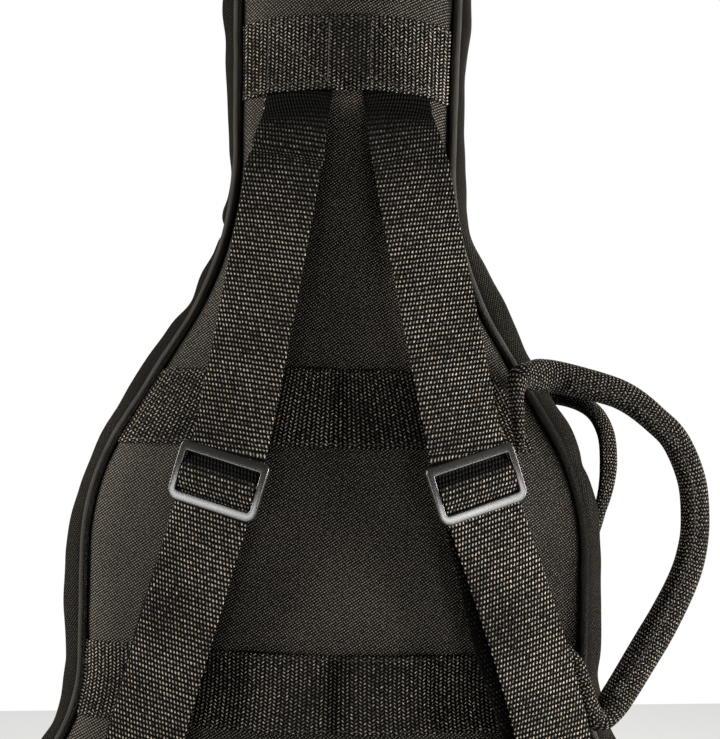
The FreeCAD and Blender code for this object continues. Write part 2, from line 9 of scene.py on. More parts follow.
import bmesh
import bpy
import numpy as np
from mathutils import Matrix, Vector


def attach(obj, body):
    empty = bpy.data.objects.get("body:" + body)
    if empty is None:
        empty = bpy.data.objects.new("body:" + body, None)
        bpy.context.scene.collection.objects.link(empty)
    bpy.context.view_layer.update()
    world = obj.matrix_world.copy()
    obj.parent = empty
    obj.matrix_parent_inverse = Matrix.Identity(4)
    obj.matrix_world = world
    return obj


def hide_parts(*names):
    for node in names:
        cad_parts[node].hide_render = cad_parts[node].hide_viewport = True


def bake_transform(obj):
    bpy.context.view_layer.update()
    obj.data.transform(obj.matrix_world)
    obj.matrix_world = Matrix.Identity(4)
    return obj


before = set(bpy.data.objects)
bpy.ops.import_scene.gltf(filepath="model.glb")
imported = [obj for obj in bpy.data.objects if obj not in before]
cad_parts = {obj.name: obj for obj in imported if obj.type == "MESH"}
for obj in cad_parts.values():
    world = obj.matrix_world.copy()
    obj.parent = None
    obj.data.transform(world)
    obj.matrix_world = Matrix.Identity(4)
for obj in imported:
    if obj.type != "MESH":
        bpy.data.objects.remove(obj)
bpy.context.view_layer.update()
MM = 0.001

# ---- dimensions shared with the CAD ----
# The outline's corners are (x, z, radius), for the right half, up from its lowest point.
OUTLINE_Z, TOTAL = 15.0, 1068.0
OUTLINE = [(128, 0, 110), (212, 88, 150), (214, 205, 122), (165, 275, 120),
           (165, 431, 162), (68, 589, 226), (76, 1068, 55)]
BACK_Y, FRONT_Y_BASE, FRONT_Y_HEAD = 66.0, 72.0, 54.0
BACK_RISE = [(0, 26), (150, 36), (300, 38), (430, 38), (600, 27), (760, 25), (1068, 20)]
FRONT_RISE = [(0, 10), (430, 14), (600, 8), (1068, 8)]
END_TAPER = 130.0
WEB_W, WEB_T = 50.0, 1.8
LEAN = (FRONT_Y_BASE - FRONT_Y_HEAD) / TOTAL
BANDS = {"top_band": 727.0, "mid_band": 497.0, "lower_band": 316.0}
HINGE_LOW, HINGE_HIGH = 100.0, 235.0
LOOP_POINTS, ARC_STEPS = 1300, 24
BAND_INSET, MID_BAND_END = 1.0, 117.0
TO_BACK, TO_FRONT = np.array([0.0, -1, 0]), np.array([0.0, 1, 0])


# ---- small numeric helpers ----
def unit(v):
    v = np.asarray(v, float)
    return v / np.maximum(np.linalg.norm(v, axis=-1, keepdims=True), 1e-9)


def step(start, end, x):
    """Smooth rise from 0 at start to 1 at end."""
    t = np.clip((np.asarray(x, float) - start) / (end - start), 0, 1)
    return t * t * (3 - 2 * t)


def bell(x, centre, width):
    return np.exp(-((np.asarray(x, float) - centre) / width) ** 2)


def ease(table, x):
    """Smooth value between the (place, value) pairs of a table."""
    x = np.asarray(x, float)
    value = np.full(x.shape, float(table[0][1]))
    for (a, before), (b, after) in zip(table, table[1:]):
        value = value + (after - before) * step(a, b, x)
    return value


def noise(x, y, scale, seed):
    """Smooth value noise between -1 and 1."""
    cells = np.random.default_rng(seed).uniform(-1, 1, (64, 64))
    x, y = np.asarray(x, float) / scale, np.asarray(y, float) / scale
    i, j = np.floor(x).astype(int), np.floor(y).astype(int)
    u, v = x - i, y - j
    u, v = u * u * (3 - 2 * u), v * v * (3 - 2 * v)
    a, b = cells[i % 64, j % 64], cells[(i + 1) % 64, j % 64]
    c, d = cells[i % 64, (j + 1) % 64], cells[(i + 1) % 64, (j + 1) % 64]
    return (a * (1 - u) + b * u) * (1 - v) + (c * (1 - u) + d * u) * v


def waver(at, scale, seed):
    """The same noise along a line."""
    return noise(at, 0 * at, scale, seed)


def walked(path):
    """How far along a path each of its points is."""
    return np.concatenate([[0], np.cumsum(np.linalg.norm(np.diff(path, axis=0), axis=1))])


def rounded_loop(corners, count):
    """Evenly spaced points along a closed path of (x, z, radius) corners, and its length.
    It starts midway between the last corner and the first."""
    points = np.array([c[:2] for c in corners], float)
    path = [(points[-1] + points[0]) / 2]
    for i, (_, _, radius) in enumerate(corners):
        here, after = points[i], points[(i + 1) % len(points)]
        into, out = unit(here - points[i - 1]), unit(after - here)
        half = math.acos(np.clip(into @ out, -1, 1)) / 2
        centre = here + unit(out - into) * radius / math.cos(half)
        arm = here - into * radius * math.tan(half) - centre
        turn = math.copysign(1, into[0] * out[1] - into[1] * out[0])
        for k in range(ARC_STEPS + 1):
            a = turn * 2 * half * k / ARC_STEPS
            path.append(centre + [arm[0] * math.cos(a) - arm[1] * math.sin(a),
                                  arm[0] * math.sin(a) + arm[1] * math.cos(a)])
    path.append(path[0])
    path = np.array(path)
    along = walked(path)
    at = np.arange(count) / count * along[-1]
    return np.stack([np.interp(at, along, path[:, k]) for k in (0, 1)], 1), along[-1]


def mirrored(corners):
    return corners + [(-x, z, r) for x, z, r in reversed(corners)]


def loop_normals(loop):
    along = unit(np.roll(loop, -1, 0) - np.roll(loop, 1, 0))
    return np.stack([along[:, 1], -along[:, 0]], 1)


LOOP, LOOP_LENGTH = rounded_loop(
    [(x, z + OUTLINE_Z, r) for x, z, r in mirrored(OUTLINE)], LOOP_POINTS)
LOOP_NORMALS = loop_normals(LOOP)
LOOP_AT = np.arange(LOOP_POINTS) / LOOP_POINTS * LOOP_LENGTH
RIGHT = LOOP[(LOOP[:, 0] > 0) & (LOOP[:, 1] > OUTLINE_Z + 0.05)
             & (LOOP[:, 1] < OUTLINE_Z + TOTAL - 0.05)]


def half_width(z):
    z = np.clip(z, OUTLINE_Z + 60, OUTLINE_Z + TOTAL - 60)
    return np.interp(z, RIGHT[:, 1], RIGHT[:, 0])


def edge_info(x, z):
    """Distance to the outline, and how far round it the nearest point is."""
    x, z = np.broadcast_arrays(np.asarray(x, float), np.asarray(z, float))
    flat_x, flat_z = x.ravel(), z.ravel()
    distance, place = np.empty(flat_x.size), np.empty(flat_x.size)
    for i in range(0, flat_x.size, 4000):
        part = slice(i, i + 4000)
        gap = ((flat_x[part, None] - LOOP[None, :, 0]) ** 2
               + (flat_z[part, None] - LOOP[None, :, 1]) ** 2)
        best = gap.argmin(1)
        distance[part] = np.sqrt(gap[np.arange(len(best)), best])
        place[part] = best * LOOP_LENGTH / len(LOOP)
    return distance.reshape(x.shape), place.reshape(x.shape)


def rise(table, x, z):
    ends = np.clip(np.minimum(z - OUTLINE_Z, OUTLINE_Z + TOTAL - z) / END_TAPER, 0, 1)
    share = np.abs(x) / half_width(z)
    across = np.where(share < 1, 1 - share ** 2, -2 * (share - 1))
    return ease(table, z - OUTLINE_Z) * across * ends * (2 - ends)


def sewn_edge(distance, place, seed):
    """How padded cloth rises from its seam: a groove, a soft roll, and small puckers."""
    gather = waver(place, 26, seed) + 0.6 * waver(place, 11, seed + 1)
    pucker = 0.55 * gather * np.exp(-distance / 16) * (1 - np.exp(-distance / 3))
    return -2.6 * np.exp(-(distance / 3.4) ** 2) + 1.3 * bell(distance, 15, 12) + pucker


def back_depth(x, z):
    """How far the back panel's cloth stands out, towards -Y."""
    x, z = np.broadcast_arrays(np.asarray(x, float), np.asarray(z, float))
    distance, place = edge_info(x, z)
    inner = 1 - np.exp(-distance / 35)
    depth = BACK_Y + rise(BACK_RISE, x, z) + sewn_edge(distance, place, 3)
    depth = depth + inner * (1.5 * noise(x + 40, z, 105, 5) + 0.7 * noise(x, z + 9, 47, 6))
    for centre in BANDS.values():
        depth = depth - 1.1 * bell(z, centre, 30) + 0.5 * (bell(z, centre - 44, 15)
                                                        + bell(z, centre + 44, 15))
    return depth


def front_edge(z):
    return FRONT_Y_BASE - LEAN * (z - OUTLINE_Z)


def front_depth(x, z):
    """How far the front panel's cloth stands out, towards +Y."""
    distance, place = edge_info(x, z)
    inner = 1 - np.exp(-distance / 35)
    depth = front_edge(z) + rise(FRONT_RISE, x, z) + sewn_edge(distance, place, 13)
    return depth + inner * (1.1 * noise(x, z, 120, 15) + 0.4 * noise(x, z, 50, 16))


# ---- mesh building ----
class Mesh:
    """Collects grids of points. Each point carries a place in the cloth, for the weave, and an
    amount of painted shade.
    """

    def __init__(self):
        self.points, self.cloth, self.faces, self.slots = [], [], [], []
        self.count = 0

    def grid(self, points, cloth, slot=0, close_rows=False, close_columns=False, flip=False):
        rows, columns = points.shape[:2]
        self.points.append(points.reshape(-1, 3))
        flat = np.zeros((rows * columns, 3))
        flat[:, :cloth.shape[-1]] = cloth.reshape(rows * columns, -1)
        self.cloth.append(flat)
        index = np.arange(rows * columns).reshape(rows, columns) + self.count
        if close_rows:
            index = np.vstack([index, index[:1]])
        if close_columns:
            index = np.hstack([index, index[:, :1]])
        quads = np.stack([index[:-1, :-1], index[:-1, 1:], index[1:, 1:], index[1:, :-1]], -1)
        quads = quads.reshape(-1, 4)
        self.faces.extend((quads[:, ::-1] if flip else quads).tolist())
        self.slots.extend([slot] * len(quads))
        self.count += rows * columns

    def cap(self, points, cloth, flip=False):
        """A fan that closes a ring of points."""
        ring = np.vstack([points, points.mean(0)])
        flat = np.zeros((len(ring), 3))
        flat[:-1, :cloth.shape[-1]] = cloth
        flat[-1, :cloth.shape[-1]] = cloth.mean(0)
        self.points.append(ring)
        self.cloth.append(flat)
        n = len(points)
        for k in range(n):
            face = [self.count + k, self.count + (k + 1) % n, self.count + n]
            self.faces.append(face[::-1] if flip else face)
            self.slots.append(0)
        self.count += n + 1

    def ends(self, points, cloth):
        """Closes both ends of a grid that runs round as a tube."""
        self.cap(points[0], cloth[0])
        self.cap(points[-1], cloth[-1], flip=True)

    def build(self, name, materials, weld=0.0, sharp=None):
        mesh = bpy.data.meshes.new(name)
        points = np.vstack(self.points) * MM
        mesh.from_pydata(points.tolist(), [], self.faces)
        for material in materials if isinstance(materials, (list, tuple)) else [materials]:
            mesh.materials.append(material)
        mesh.polygons.foreach_set("material_index", self.slots)
        place = mesh.attributes.new("cloth", "FLOAT_VECTOR", "POINT")
        place.data.foreach_set("vector", (np.vstack(self.cloth) * MM).ravel())
        work = bmesh.new()
        work.from_mesh(mesh)
        if weld:
            bmesh.ops.remove_doubles(work, verts=work.verts, dist=weld * MM)
        bmesh.ops.recalc_face_normals(work, faces=work.faces)
        work.to_mesh(mesh)
        work.free()
        mesh.shade_smooth()
        if sharp:
            mesh.set_sharp_from_angle(angle=math.radians(sharp))
        thing = bpy.data.objects.new(name, mesh)
        bpy.context.scene.collection.objects.link(thing)
        return thing


def place_piece(thing, body, slot, *nodes):
    """Rides on one body; given two as (body, body, start, end), it is fixed where it stands and
    rides on neither.
    """
    if isinstance(body, str):
        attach(thing, body)
    else:
        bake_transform(thing)
    if nodes:
        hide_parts(*nodes)


def smooth_path(points, count):
    """An even walk along a Catmull-Rom curve through points; extra columns follow along."""
    p = np.array(points, float)
    p = np.vstack([2 * p[0] - p[1], p, 2 * p[-1] - p[-2]])
    fine = []
    for a, b, c, d in zip(p, p[1:], p[2:], p[3:]):
        t = np.linspace(0, 1, 24, endpoint=False)[:, None]
        fine.append(0.5 * (2 * b + (c - a) * t + (2 * a - 5 * b + 4 * c - d) * t ** 2
                           + (3 * b - a - 3 * c + d) * t ** 3))
    fine = np.vstack(fine + [p[-2:-1]])
    along = walked(fine[:, :3])
    at = np.linspace(0, along[-1], count)
    return np.stack([np.interp(at, along, fine[:, k]) for k in range(p.shape[1])], 1), at


def frames(path, outward):
    """Directions along, across and outward at each point of a path."""
    along = unit(np.gradient(path, axis=0))
    outward = unit(outward - along * (outward * along).sum(1, keepdims=True))
    return along, np.cross(outward, along), outward


def web_section(width, thickness, columns=15):
    """Points round a webbing strip's rounded section: (across, out, place in the weave)."""
    half, r = width / 2, thickness / 2
    across = np.linspace(-half + r, half - r, columns)
    front = [(a, r, a) for a in across]
    edge = [(half - r + r * math.cos(t), r * math.sin(t), half)
            for t in (math.pi / 4, 0, -math.pi / 4)]
    return np.array(front + edge + [(a, -r, a) for a in across[::-1]]
                    + [(-a, -b, -c) for a, b, c in edge])


def ribbon(mesh, path, outward, width=WEB_W, thickness=WEB_T, columns=15, start=0.0, bow=0.0,
           share=1.0, painted_shade=0.0):
    """Webbing along a path. bow lifts its middle, share narrows it, and the last argument is the
    painted shade on each point, from 0 to 1, where something shades it."""
    along, across, out = frames(path, outward)
    section = web_section(width, thickness, columns)
    wide = section[None, :, 0] * np.broadcast_to(share, len(path))[:, None]
    crown = np.broadcast_to(bow, len(path))[:, None]
    high = section[:, 1] + crown * (1 - (2 * section[:, 0] / width) ** 2)
    points = path[:, None] + across[:, None] * wide[..., None] + out[:, None] * high[..., None]
    run = start + walked(path)
    cloth = np.zeros(points.shape)
    cloth[..., 0] = section[None, :, 2]
    cloth[..., 1] = run[:, None]
    cloth[..., 2] = 1000 * np.broadcast_to(painted_shade, len(path))[:, None]
    mesh.grid(points, cloth, close_columns=True)
    mesh.ends(points, cloth)


def tube(mesh, path, outward, wide, thick, sides=20, closed=False, caps=True):
    """An oval bar along a path. wide and thick are half sizes, single or one a point."""
    if closed:
        along = unit(np.roll(path, -1, 0) - np.roll(path, 1, 0))
        outward = unit(outward - along * (outward * along).sum(1, keepdims=True))
        across = np.cross(outward, along)
    else:
        along, across, outward = frames(path, outward)
    angle = np.linspace(0, 2 * math.pi, sides, endpoint=False)
    wide = np.broadcast_to(np.asarray(wide, float), len(path))[:, None, None]
    thick = np.broadcast_to(np.asarray(thick, float), len(path))[:, None, None]
    points = (path[:, None] + across[:, None] * np.cos(angle)[None, :, None] * wide
              + outward[:, None] * np.sin(angle)[None, :, None] * thick)
    cloth = np.zeros(points.shape)
    cloth[..., 0] = angle[None] * (wide[..., 0] + thick[..., 0]) / 2
    cloth[..., 1] = walked(path)[:, None]
    mesh.grid(points, cloth, close_rows=closed, close_columns=True)
    if caps and not closed:
        mesh.ends(points, cloth)


# ---- materials ----
class Shader:
    """A Principled material with a few shorthands for wiring nodes."""

    def __init__(self, name, color, roughness, specular=0.5, sheen=0.0, metallic=0.0, ior=1.5):
        self.material = bpy.data.materials.new(name)
        self.material.use_nodes = True
        self.tree = self.material.node_tree
        self.bsdf = self.tree.nodes["Principled BSDF"]
        self.set("Base Color", (*color, 1))
        self.set("Roughness", roughness)
        self.set("Specular IOR Level", specular)
        self.set("Metallic", metallic)
        self.set("IOR", ior)
        if sheen:
            self.set("Sheen Weight", sheen)
            self.set("Sheen Roughness", 0.45)
            self.set("Sheen Tint", (0.9, 0.86, 0.78, 1))

    def set(self, name, value):
        self.bsdf.inputs[name].default_value = value

    def node(self, kind, **inputs):
        made = self.tree.nodes.new(kind)
        for name, value in inputs.items():
            self.feed(made.inputs[name.replace("_", " ")], value)
        return made

    def feed(self, socket, value):
        if isinstance(value, bpy.types.NodeSocket):
            self.tree.links.new(value, socket)
        else:
            socket.default_value = value

    def math(self, operation, a, b=0.0, c=0.0):
        made = self.tree.nodes.new("ShaderNodeMath")
        made.operation = operation
        for socket, value in zip(made.inputs, (a, b, c)):
            self.feed(socket, value)
        return made.outputs[0]

    def times(self, a, b):
        return self.math("MULTIPLY", a, b)

    def scaled(self, a, by, plus):
        return self.math("MULTIPLY_ADD", a, by, plus)

    def cloth(self):
        """The place in the cloth, in metres: across and along, and one minus its painted shade.
        """
        made = self.tree.nodes.new("ShaderNodeAttribute")
        made.attribute_name = "cloth"
        split = self.node("ShaderNodeSeparateXYZ", Vector=made.outputs["Vector"])
        flat = self.node("ShaderNodeCombineXYZ", X=split.outputs[0], Y=split.outputs[1])
        unshaded_share = self.math("SUBTRACT", 1.0, split.outputs[2])
        return split.outputs[0], split.outputs[1], flat.outputs[0], unshaded_share

    def position(self):
        return self.tree.nodes.new("ShaderNodeTexCoord").outputs["Object"]

    def cloud(self, place, scale, detail=2.0, roughness=0.5):
        made = self.node("ShaderNodeTexNoise", Vector=place, Scale=scale, Detail=detail,
                         Roughness=roughness)
        return made.outputs["Fac"]

    def shades(self, factor, *stops):
        """Colours along a ramp: (place, (r, g, b))."""
        made = self.node("ShaderNodeValToRGB", Fac=factor)
        ramp = made.color_ramp
        while len(ramp.elements) < len(stops):
            ramp.elements.new(0.5)
        for element, (at, color) in zip(ramp.elements, stops):
            element.position = at
            element.color = (*color, 1)
        return made.outputs["Color"]

    def paint(self, color):
        self.feed(self.bsdf.inputs["Base Color"], color)

    def rough(self, value):
        self.feed(self.bsdf.inputs["Roughness"], value)

    def bump(self, height, distance, strength):
        made = self.node("ShaderNodeBump", Height=height, Distance=distance, Strength=strength)
        self.feed(self.bsdf.inputs["Normal"], made.outputs["Normal"])


def gray(value):
    """A dark warm grey."""
    return (value * 1.13, value * 0.985, value * 0.79)


def webbing(name, slant, alternate=False, light=0.31, dark=0.0006, wide=0.0023, long=0.0030):
    """Coarse nylon webbing: rows of raised oval floats, each row set off by half a step."""
    s = Shader(name, gray(light * 0.3), 0.5, specular=0.04)
    u, v, place, lit = s.cloth()
    wander = s.scaled(s.cloud(place, 150.0), 0.0009, -0.00045)
    rows = s.math("DIVIDE", s.math("ADD", v, wander), long)
    odd = s.math("FLOORED_MODULO", s.math("FLOOR", rows), 2.0)
    part = s.math("FRACT", rows)
    lean = s.times(s.math("SUBTRACT", part, 0.5), slant)
    if alternate:
        lean = s.times(lean, s.math("SUBTRACT", 1.0, s.times(odd, 2.0)))
    step_across = s.math("ADD", s.math("DIVIDE", s.math("ADD", u, wander), wide),
                         s.times(odd, 0.5))
    spot = s.math("FRACT", s.math("ADD", step_across, lean))
    ridge = s.math("SINE", s.times(part, math.pi))
    bead = s.math("SINE", s.times(spot, math.pi))
    height = s.times(s.math("POWER", ridge, 0.7), bead)
    uneven = s.scaled(s.cloud(place, 420.0, 2.0), 1.15, 0.32)
    worn = s.scaled(s.cloud(place, 24.0, 3.0), 0.45, 0.78)
    # Colour follows the float height: painted shade in the gaps and painted highlights on the
    # float tops, darkened further by the painted shade in lit; uneven and worn vary it at random.
    tone = s.times(s.times(height, lit), s.times(uneven, worn))
    s.paint(s.shades(tone, (0.48, gray(dark)), (0.7, gray(light * 0.16)), (0.95, gray(light))))
    s.rough(s.scaled(height, -0.25, 0.75))
    s.bump(height, 0.0009, 0.9)
    return s.material


def oxford(name, light=0.13, dark=0.0008, pitch=0.0016, specular=0.06, worn=0.9):
    """Coated polyester cloth: a lattice of thread crossings, slightly uneven."""
    s = Shader(name, gray(light * 0.3), 0.62, specular=specular)
    u, v, place, lit = s.cloth()
    u = s.math("ADD", u, s.times(s.cloud(place, 260.0), 0.0009))

    def stripes(degrees, apart):
        turn = math.radians(degrees)
        across = s.math("ADD", s.times(u, -math.sin(turn)), s.times(v, math.cos(turn)))
        return s.scaled(s.math("COSINE", s.times(across, 2 * math.pi / apart)), 0.5, 0.5)

    crossing = s.scaled(stripes(-50, pitch * 1.06), 0.6, 0.4)
    height = s.times(stripes(33, pitch), crossing)
    grain = s.scaled(s.cloud(place, 700.0, 1.0), 1.4, 0.3)
    cloudy = s.scaled(s.cloud(s.position(), 9.0, 4.0), worn, 1 - worn / 2)
    # Colour follows the thread height: painted shade between the threads and painted highlights
    # on the crossings, darkened further by the painted shade in lit; grain and cloudy vary it at
    # random.
    tone = s.times(s.times(height, lit), s.times(grain, cloudy))
    s.paint(s.shades(tone, (0.3, gray(dark)), (0.56, gray(light * 0.18)), (0.92, gray(light))))
    s.rough(s.scaled(height, -0.15, 0.7))
    s.bump(height, 0.0003, 0.9)
    return s.material


def diagonal_cloth(name, light=0.05, pitch=0.0014):
    """Bias-cut cloth over the piping cord, with threads running slantwise round it."""
    s = Shader(name, gray(light), 0.6, specular=0.12)
    u, v, place, lit = s.cloth()
    lines = s.math("SINE", s.times(s.math("ADD", u, v), 2 * math.pi / pitch))
    cross = s.math("SINE", s.times(s.math("SUBTRACT", v, u), 2 * math.pi / pitch))
    height = s.scaled(s.scaled(cross, 0.4, lines), 0.35, 0.5)
    worn = s.scaled(s.cloud(place, 60.0, 3.0), 0.8, 0.6)
    # Colour follows the thread height: painted shade between the threads and painted highlights
    # on their tops, darkened further by the painted shade in lit; worn varies it at random.
    tone = s.times(s.times(height, lit), worn)
    s.paint(s.shades(tone, (0.3, gray(light * 0.06)), (0.9, gray(light))))
    s.bump(height, 0.0003, 0.9)
    return s.material


def plain_cloth(name, color, roughness, scale, depth, sheen=0.0, specular=0.4, spread=0.35):
    """A soft or moulded surface whose grain is noise."""
    s = Shader(name, color, roughness, specular=specular, sheen=sheen)
    place = s.position()
    grain = s.cloud(place, scale, 3.0, 0.6)
    broad = s.cloud(place, 14.0, 3.0)
    tone = s.scaled(broad, 0.5, s.times(grain, 0.5))
    darker = tuple(c * (1 - spread) for c in color)
    lighter = tuple(min(1.0, c * (1 + spread)) for c in color)
    s.paint(s.shades(tone, (0.3, darker), (0.7, lighter)))
    s.rough(s.scaled(broad, 0.16, roughness - 0.08))
    s.bump(grain, depth, 0.7)
    return s.material


def metal(name, color, roughness):
    s = Shader(name, color, roughness, specular=0.5, metallic=1.0)
    place = s.position()
    smudge = s.cloud(place, 60.0, 3.0)
    s.paint(s.shades(smudge, (0.3, tuple(c * 0.75 for c in color)), (0.75, color)))
    s.rough(s.scaled(smudge, 0.2, roughness - 0.05))
    s.bump(s.cloud(place, 900.0, 2.0), 0.00004, 0.5)
    return s.material


SHELL_CLOTH = oxford("shell_cloth")
# A darker copy of the shell cloth: painted shade for the gusset and the hinge strip.
SHADED_GUSSET_CLOTH = oxford("gusset_cloth_painted_shade", light=0.034, specular=0.025)
PIPING_CLOTH = diagonal_cloth("piping_cloth")
STRAP_LEFT = webbing("webbing_left", -0.45)
STRAP_RIGHT = webbing("webbing_right", 0.45)
BAND_WEB = webbing("webbing_band", 0.8, alternate=True, light=0.29, long=0.0027)
HANDLE_WEB = webbing("webbing_handle", 0.7, alternate=True, light=0.2, wide=0.0021,
                     long=0.0024)
TAPE_CLOTH = webbing("zip_tape_cloth", 0.0, light=0.08, wide=0.0011, long=0.0013)
PLUSH = plain_cloth("plush", gray(0.05), 0.95, 420.0, 0.0008, sheen=0.6, specular=0.15)
PLASTIC = plain_cloth("buckle_plastic_look", gray(0.01), 0.25, 700.0, 0.00003, spread=0.12,
                      specular=1.0)
RUBBER = plain_cloth("base_rubber_look", gray(0.014), 0.62, 500.0, 0.0001, spread=0.2)
PULL = plain_cloth("pull_rubber_look", gray(0.016), 0.5, 600.0, 0.00005, spread=0.15)
TEETH = plain_cloth("zip_teeth_look", gray(0.02), 0.35, 500.0, 0.00002, spread=0.15)
DARK_METAL = metal("dark_metal_look", gray(0.16), 0.3)
THREAD = plain_cloth("thread", gray(0.012), 0.6, 2500.0, 0.0001, spread=0.3)
HOOK = plain_cloth("hook_loop_look", gray(0.02), 0.9, 900.0, 0.0006, sheen=0.3)


# ---- panels ----
COLUMNS = np.linspace(-1, 1, 151)
ACROSS = COLUMNS * (1 + 0.35 * (1 - COLUMNS ** 2))
ROWS = RIGHT[::2]
PANEL_X = ROWS[:, :1] * (ACROSS / ACROSS[-1])[None]
PANEL_Z = np.broadcast_to(ROWS[:, 1:], PANEL_X.shape)


def panel(name, depth, sign, materials, body, slot, *nodes):
    """A padded panel as one closed body: cloth outside, lining inside, a rim between."""
    outer = np.stack([PANEL_X, sign * depth(PANEL_X, PANEL_Z), PANEL_Z], -1)
    distance, _ = edge_info(PANEL_X, PANEL_Z)
    pad = 9.5 + 2.5 * step(0, 30, distance) + 1.2 * noise(PANEL_X, PANEL_Z, 60, 31)
    inner = outer - np.array([0, sign, 0]) * pad[..., None]
    # The third cloth value paints shade along the seam beside the piping.
    cloth = np.stack([PANEL_X, PANEL_Z, 900 * np.exp(-(distance / 2.6) ** 2)], -1)
    mesh = Mesh()
    mesh.grid(outer, cloth, 0)
    mesh.grid(inner, cloth, 1)
    rows, columns = PANEL_X.shape
    for pick in ((0, slice(None)), (rows - 1, slice(None)), (slice(None), 0),
                 (slice(None), columns - 1)):
        mesh.grid(np.stack([outer[pick], inner[pick]]), np.stack([cloth[pick], cloth[pick]]), 1)
    thing = mesh.build(name, materials, weld=0.01)
    place_piece(thing, body, slot, *nodes)


panel("padded_back", back_depth, -1, [SHELL_CLOTH, PLUSH], "shell", "shell_fabric",
      "back_cover", "back_foam", "back_lining")
panel("padded_front", front_depth, 1, [SHELL_CLOTH, PLUSH], "lid", "shell_fabric",
      "front_cover", "front_foam", "front_lining")


# ---- piping ----
def piping(name, depth, body, node):
    """A corded edge outside the outline, a little wavy and uneven."""
    x, z = (LOOP + LOOP_NORMALS * (2.9 + 0.25 * waver(LOOP_AT, 30, 41))[:, None]).T
    path = np.stack([x, depth(z) + 0.35 * waver(LOOP_AT, 45, 42), z], 1)
    out = np.stack([LOOP_NORMALS[:, 0], 0 * x, LOOP_NORMALS[:, 1]], 1)
    radius = 2.75 + 0.12 * waver(LOOP_AT, 12, 43)
    mesh = Mesh()
    tube(mesh, path, out, radius, radius, sides=12, closed=True)
    place_piece(mesh.build(name, PIPING_CLOTH), body, "piping", node)


piping("piped_edge_back", lambda z: 0 * z - 64.0, "shell", "back_piping")
piping("piped_edge_front", lambda z: front_edge(z) - 2.3, "lid", "front_piping")


# ---- gusset ----
def gusset_bulge(x, z, at, seed):
    """How far the gusset's padded side stands out from the zip line."""
    full = ease([(150, 8.5), (330, 11.0), (560, 11.5), (625, 6.5), (760, 6.0), (1050, 4.0)], z)
    full = full + 2.2 * waver(at, 150, seed) + 1.2 * waver(at, 52, seed + 1)
    full = full + 4.0 * bell(z, 360, 55) + 3.0 * (x > 0) * bell(z, 575, 38)
    slack = 4.5 * bell(z, 665, 60) + 3.5 * bell(z, 645, 22) + 2.4 * bell(z, 588, 55)
    full = full - (x < 0) * (slack + 4.0 * bell(z, 562, 14))
    at_hinge = (x < 0) * bell(z, 165, 95)
    return np.maximum(full, 1.0) * step(38, 120, z) * (1 - 0.5 * at_hinge)


SIDE = 26
TAPE, LINED = slice(SIDE - 1, SIDE + 2), slice(SIDE + 2, SIDE + 9)


def gusset(name, seam_y, tape_y, lip_y, sign, body, nodes, seed):
    """One half of the gusset as a closed padded ring round the bag. The first SIDE points across
    are its cloth, then come the zip tape, the lip and the lining."""
    at = LOOP_AT[:, None]
    x, z = LOOP[:, :1], LOOP[:, 1:]
    t = np.linspace(0, 1, SIDE)[None]
    start = seam_y(z)
    depth = start + (tape_y - start) * t
    swell = step(0.05, 0.42, t) * (1 - step(0.45, 1.02, t) ** 1.3)
    offset = 9.0 - 5.2 * (1 - step(0.03, 0.3, t)) + gusset_bulge(x, z, at, seed) * swell
    wrinkle = (noise(at + 30 * t, at * 0 + 4 * t, 19, seed + 2)
               + 0.8 * noise(at - 44 * t, at * 0 + 9 * t, 34, seed + 3))
    offset = offset + 0.9 * wrinkle * np.sin(math.pi * t) * step(30, 90, z)
    if sign < 0:
        fold = -3.6 * bell(z, 612 + 26 * t, 4.5) + 2.6 * bell(z, 624 + 26 * t, 8)
        offset = offset + fold * (x < 0) * np.sin(math.pi * t ** 0.5)
        fold = -1.6 * bell(z, 470 - 30 * t, 6) + 0.9 * bell(z, 484 - 30 * t, 10)
        offset = offset + fold * (x > 0) * np.sin(math.pi * t ** 0.5)
    inner_y = start - sign * 8.0
    rim_offset = np.array([[8.8, 6.0, 2.0, -2.0, -4.0, -4.3, -4.3, -4.0]])
    rim_depth = np.concatenate([np.full_like(z, lip_y)] * 4
                               + [np.full_like(z, lip_y) + sign * 1.2,
                                  lip_y + (inner_y - lip_y) * 0.35,
                                  lip_y + (inner_y - lip_y) * 0.7, inner_y], 1)
    rim_offset = np.broadcast_to(rim_offset, rim_depth.shape)
    offset = np.hstack([offset, np.full_like(z, 9.0), rim_offset])
    depth = np.hstack([depth, np.full_like(z, (tape_y + lip_y) / 2), rim_depth])
    points = np.stack([x + LOOP_NORMALS[:, :1] * offset, depth,
                       z + LOOP_NORMALS[:, 1:] * offset], -1)
    # Painted shade in the groove beside the piping seam and beside the zip tape.
    seam_shade = np.zeros(depth.shape)
    seam_shade[:, :SIDE] = 1000 * (1 - step(0.04, 0.24, t)) + 500 * step(0.8, 1.0, t)
    cloth = np.stack([np.broadcast_to(at, depth.shape), depth, seam_shade], -1)
    mesh = Mesh()
    mesh.grid(points, cloth, close_rows=True, close_columns=True)
    slots = np.zeros(depth.shape, int)
    slots[:, TAPE] = 1
    slots[:, LINED] = 2
    mesh.slots = slots.ravel().tolist()
    thing = mesh.build(name, [SHADED_GUSSET_CLOTH, TAPE_CLOTH, PLUSH])
    place_piece(thing, body, "shell_fabric", *nodes)


gusset("padded_gusset_rear", lambda z: 0 * z - 61.5, 16.2, 25.7, -1, "shell",
       ["rear_gusset_cover", "rear_gusset_left", "rear_gusset_right", "rear_gusset_head",
        "rear_gusset_base", "rear_zip_tape"], 51)
gusset("padded_gusset_lid", lambda z: front_edge(z) - 4.8, 35.8, 26.3, 1, "lid",
       ["lid_gusset_cover", "lid_gusset_left", "lid_gusset_right", "lid_gusset_head",
        "lid_gusset_base", "lid_zip_tape"], 71)


# ---- bands sewn across the back ----
def follow_outline(x, z, line_z):
    """x at the height z, moved from line_z as the panel's edge moves between the two."""
    return x * (half_width(z) - BAND_INSET) / (half_width(line_z) - BAND_INSET)


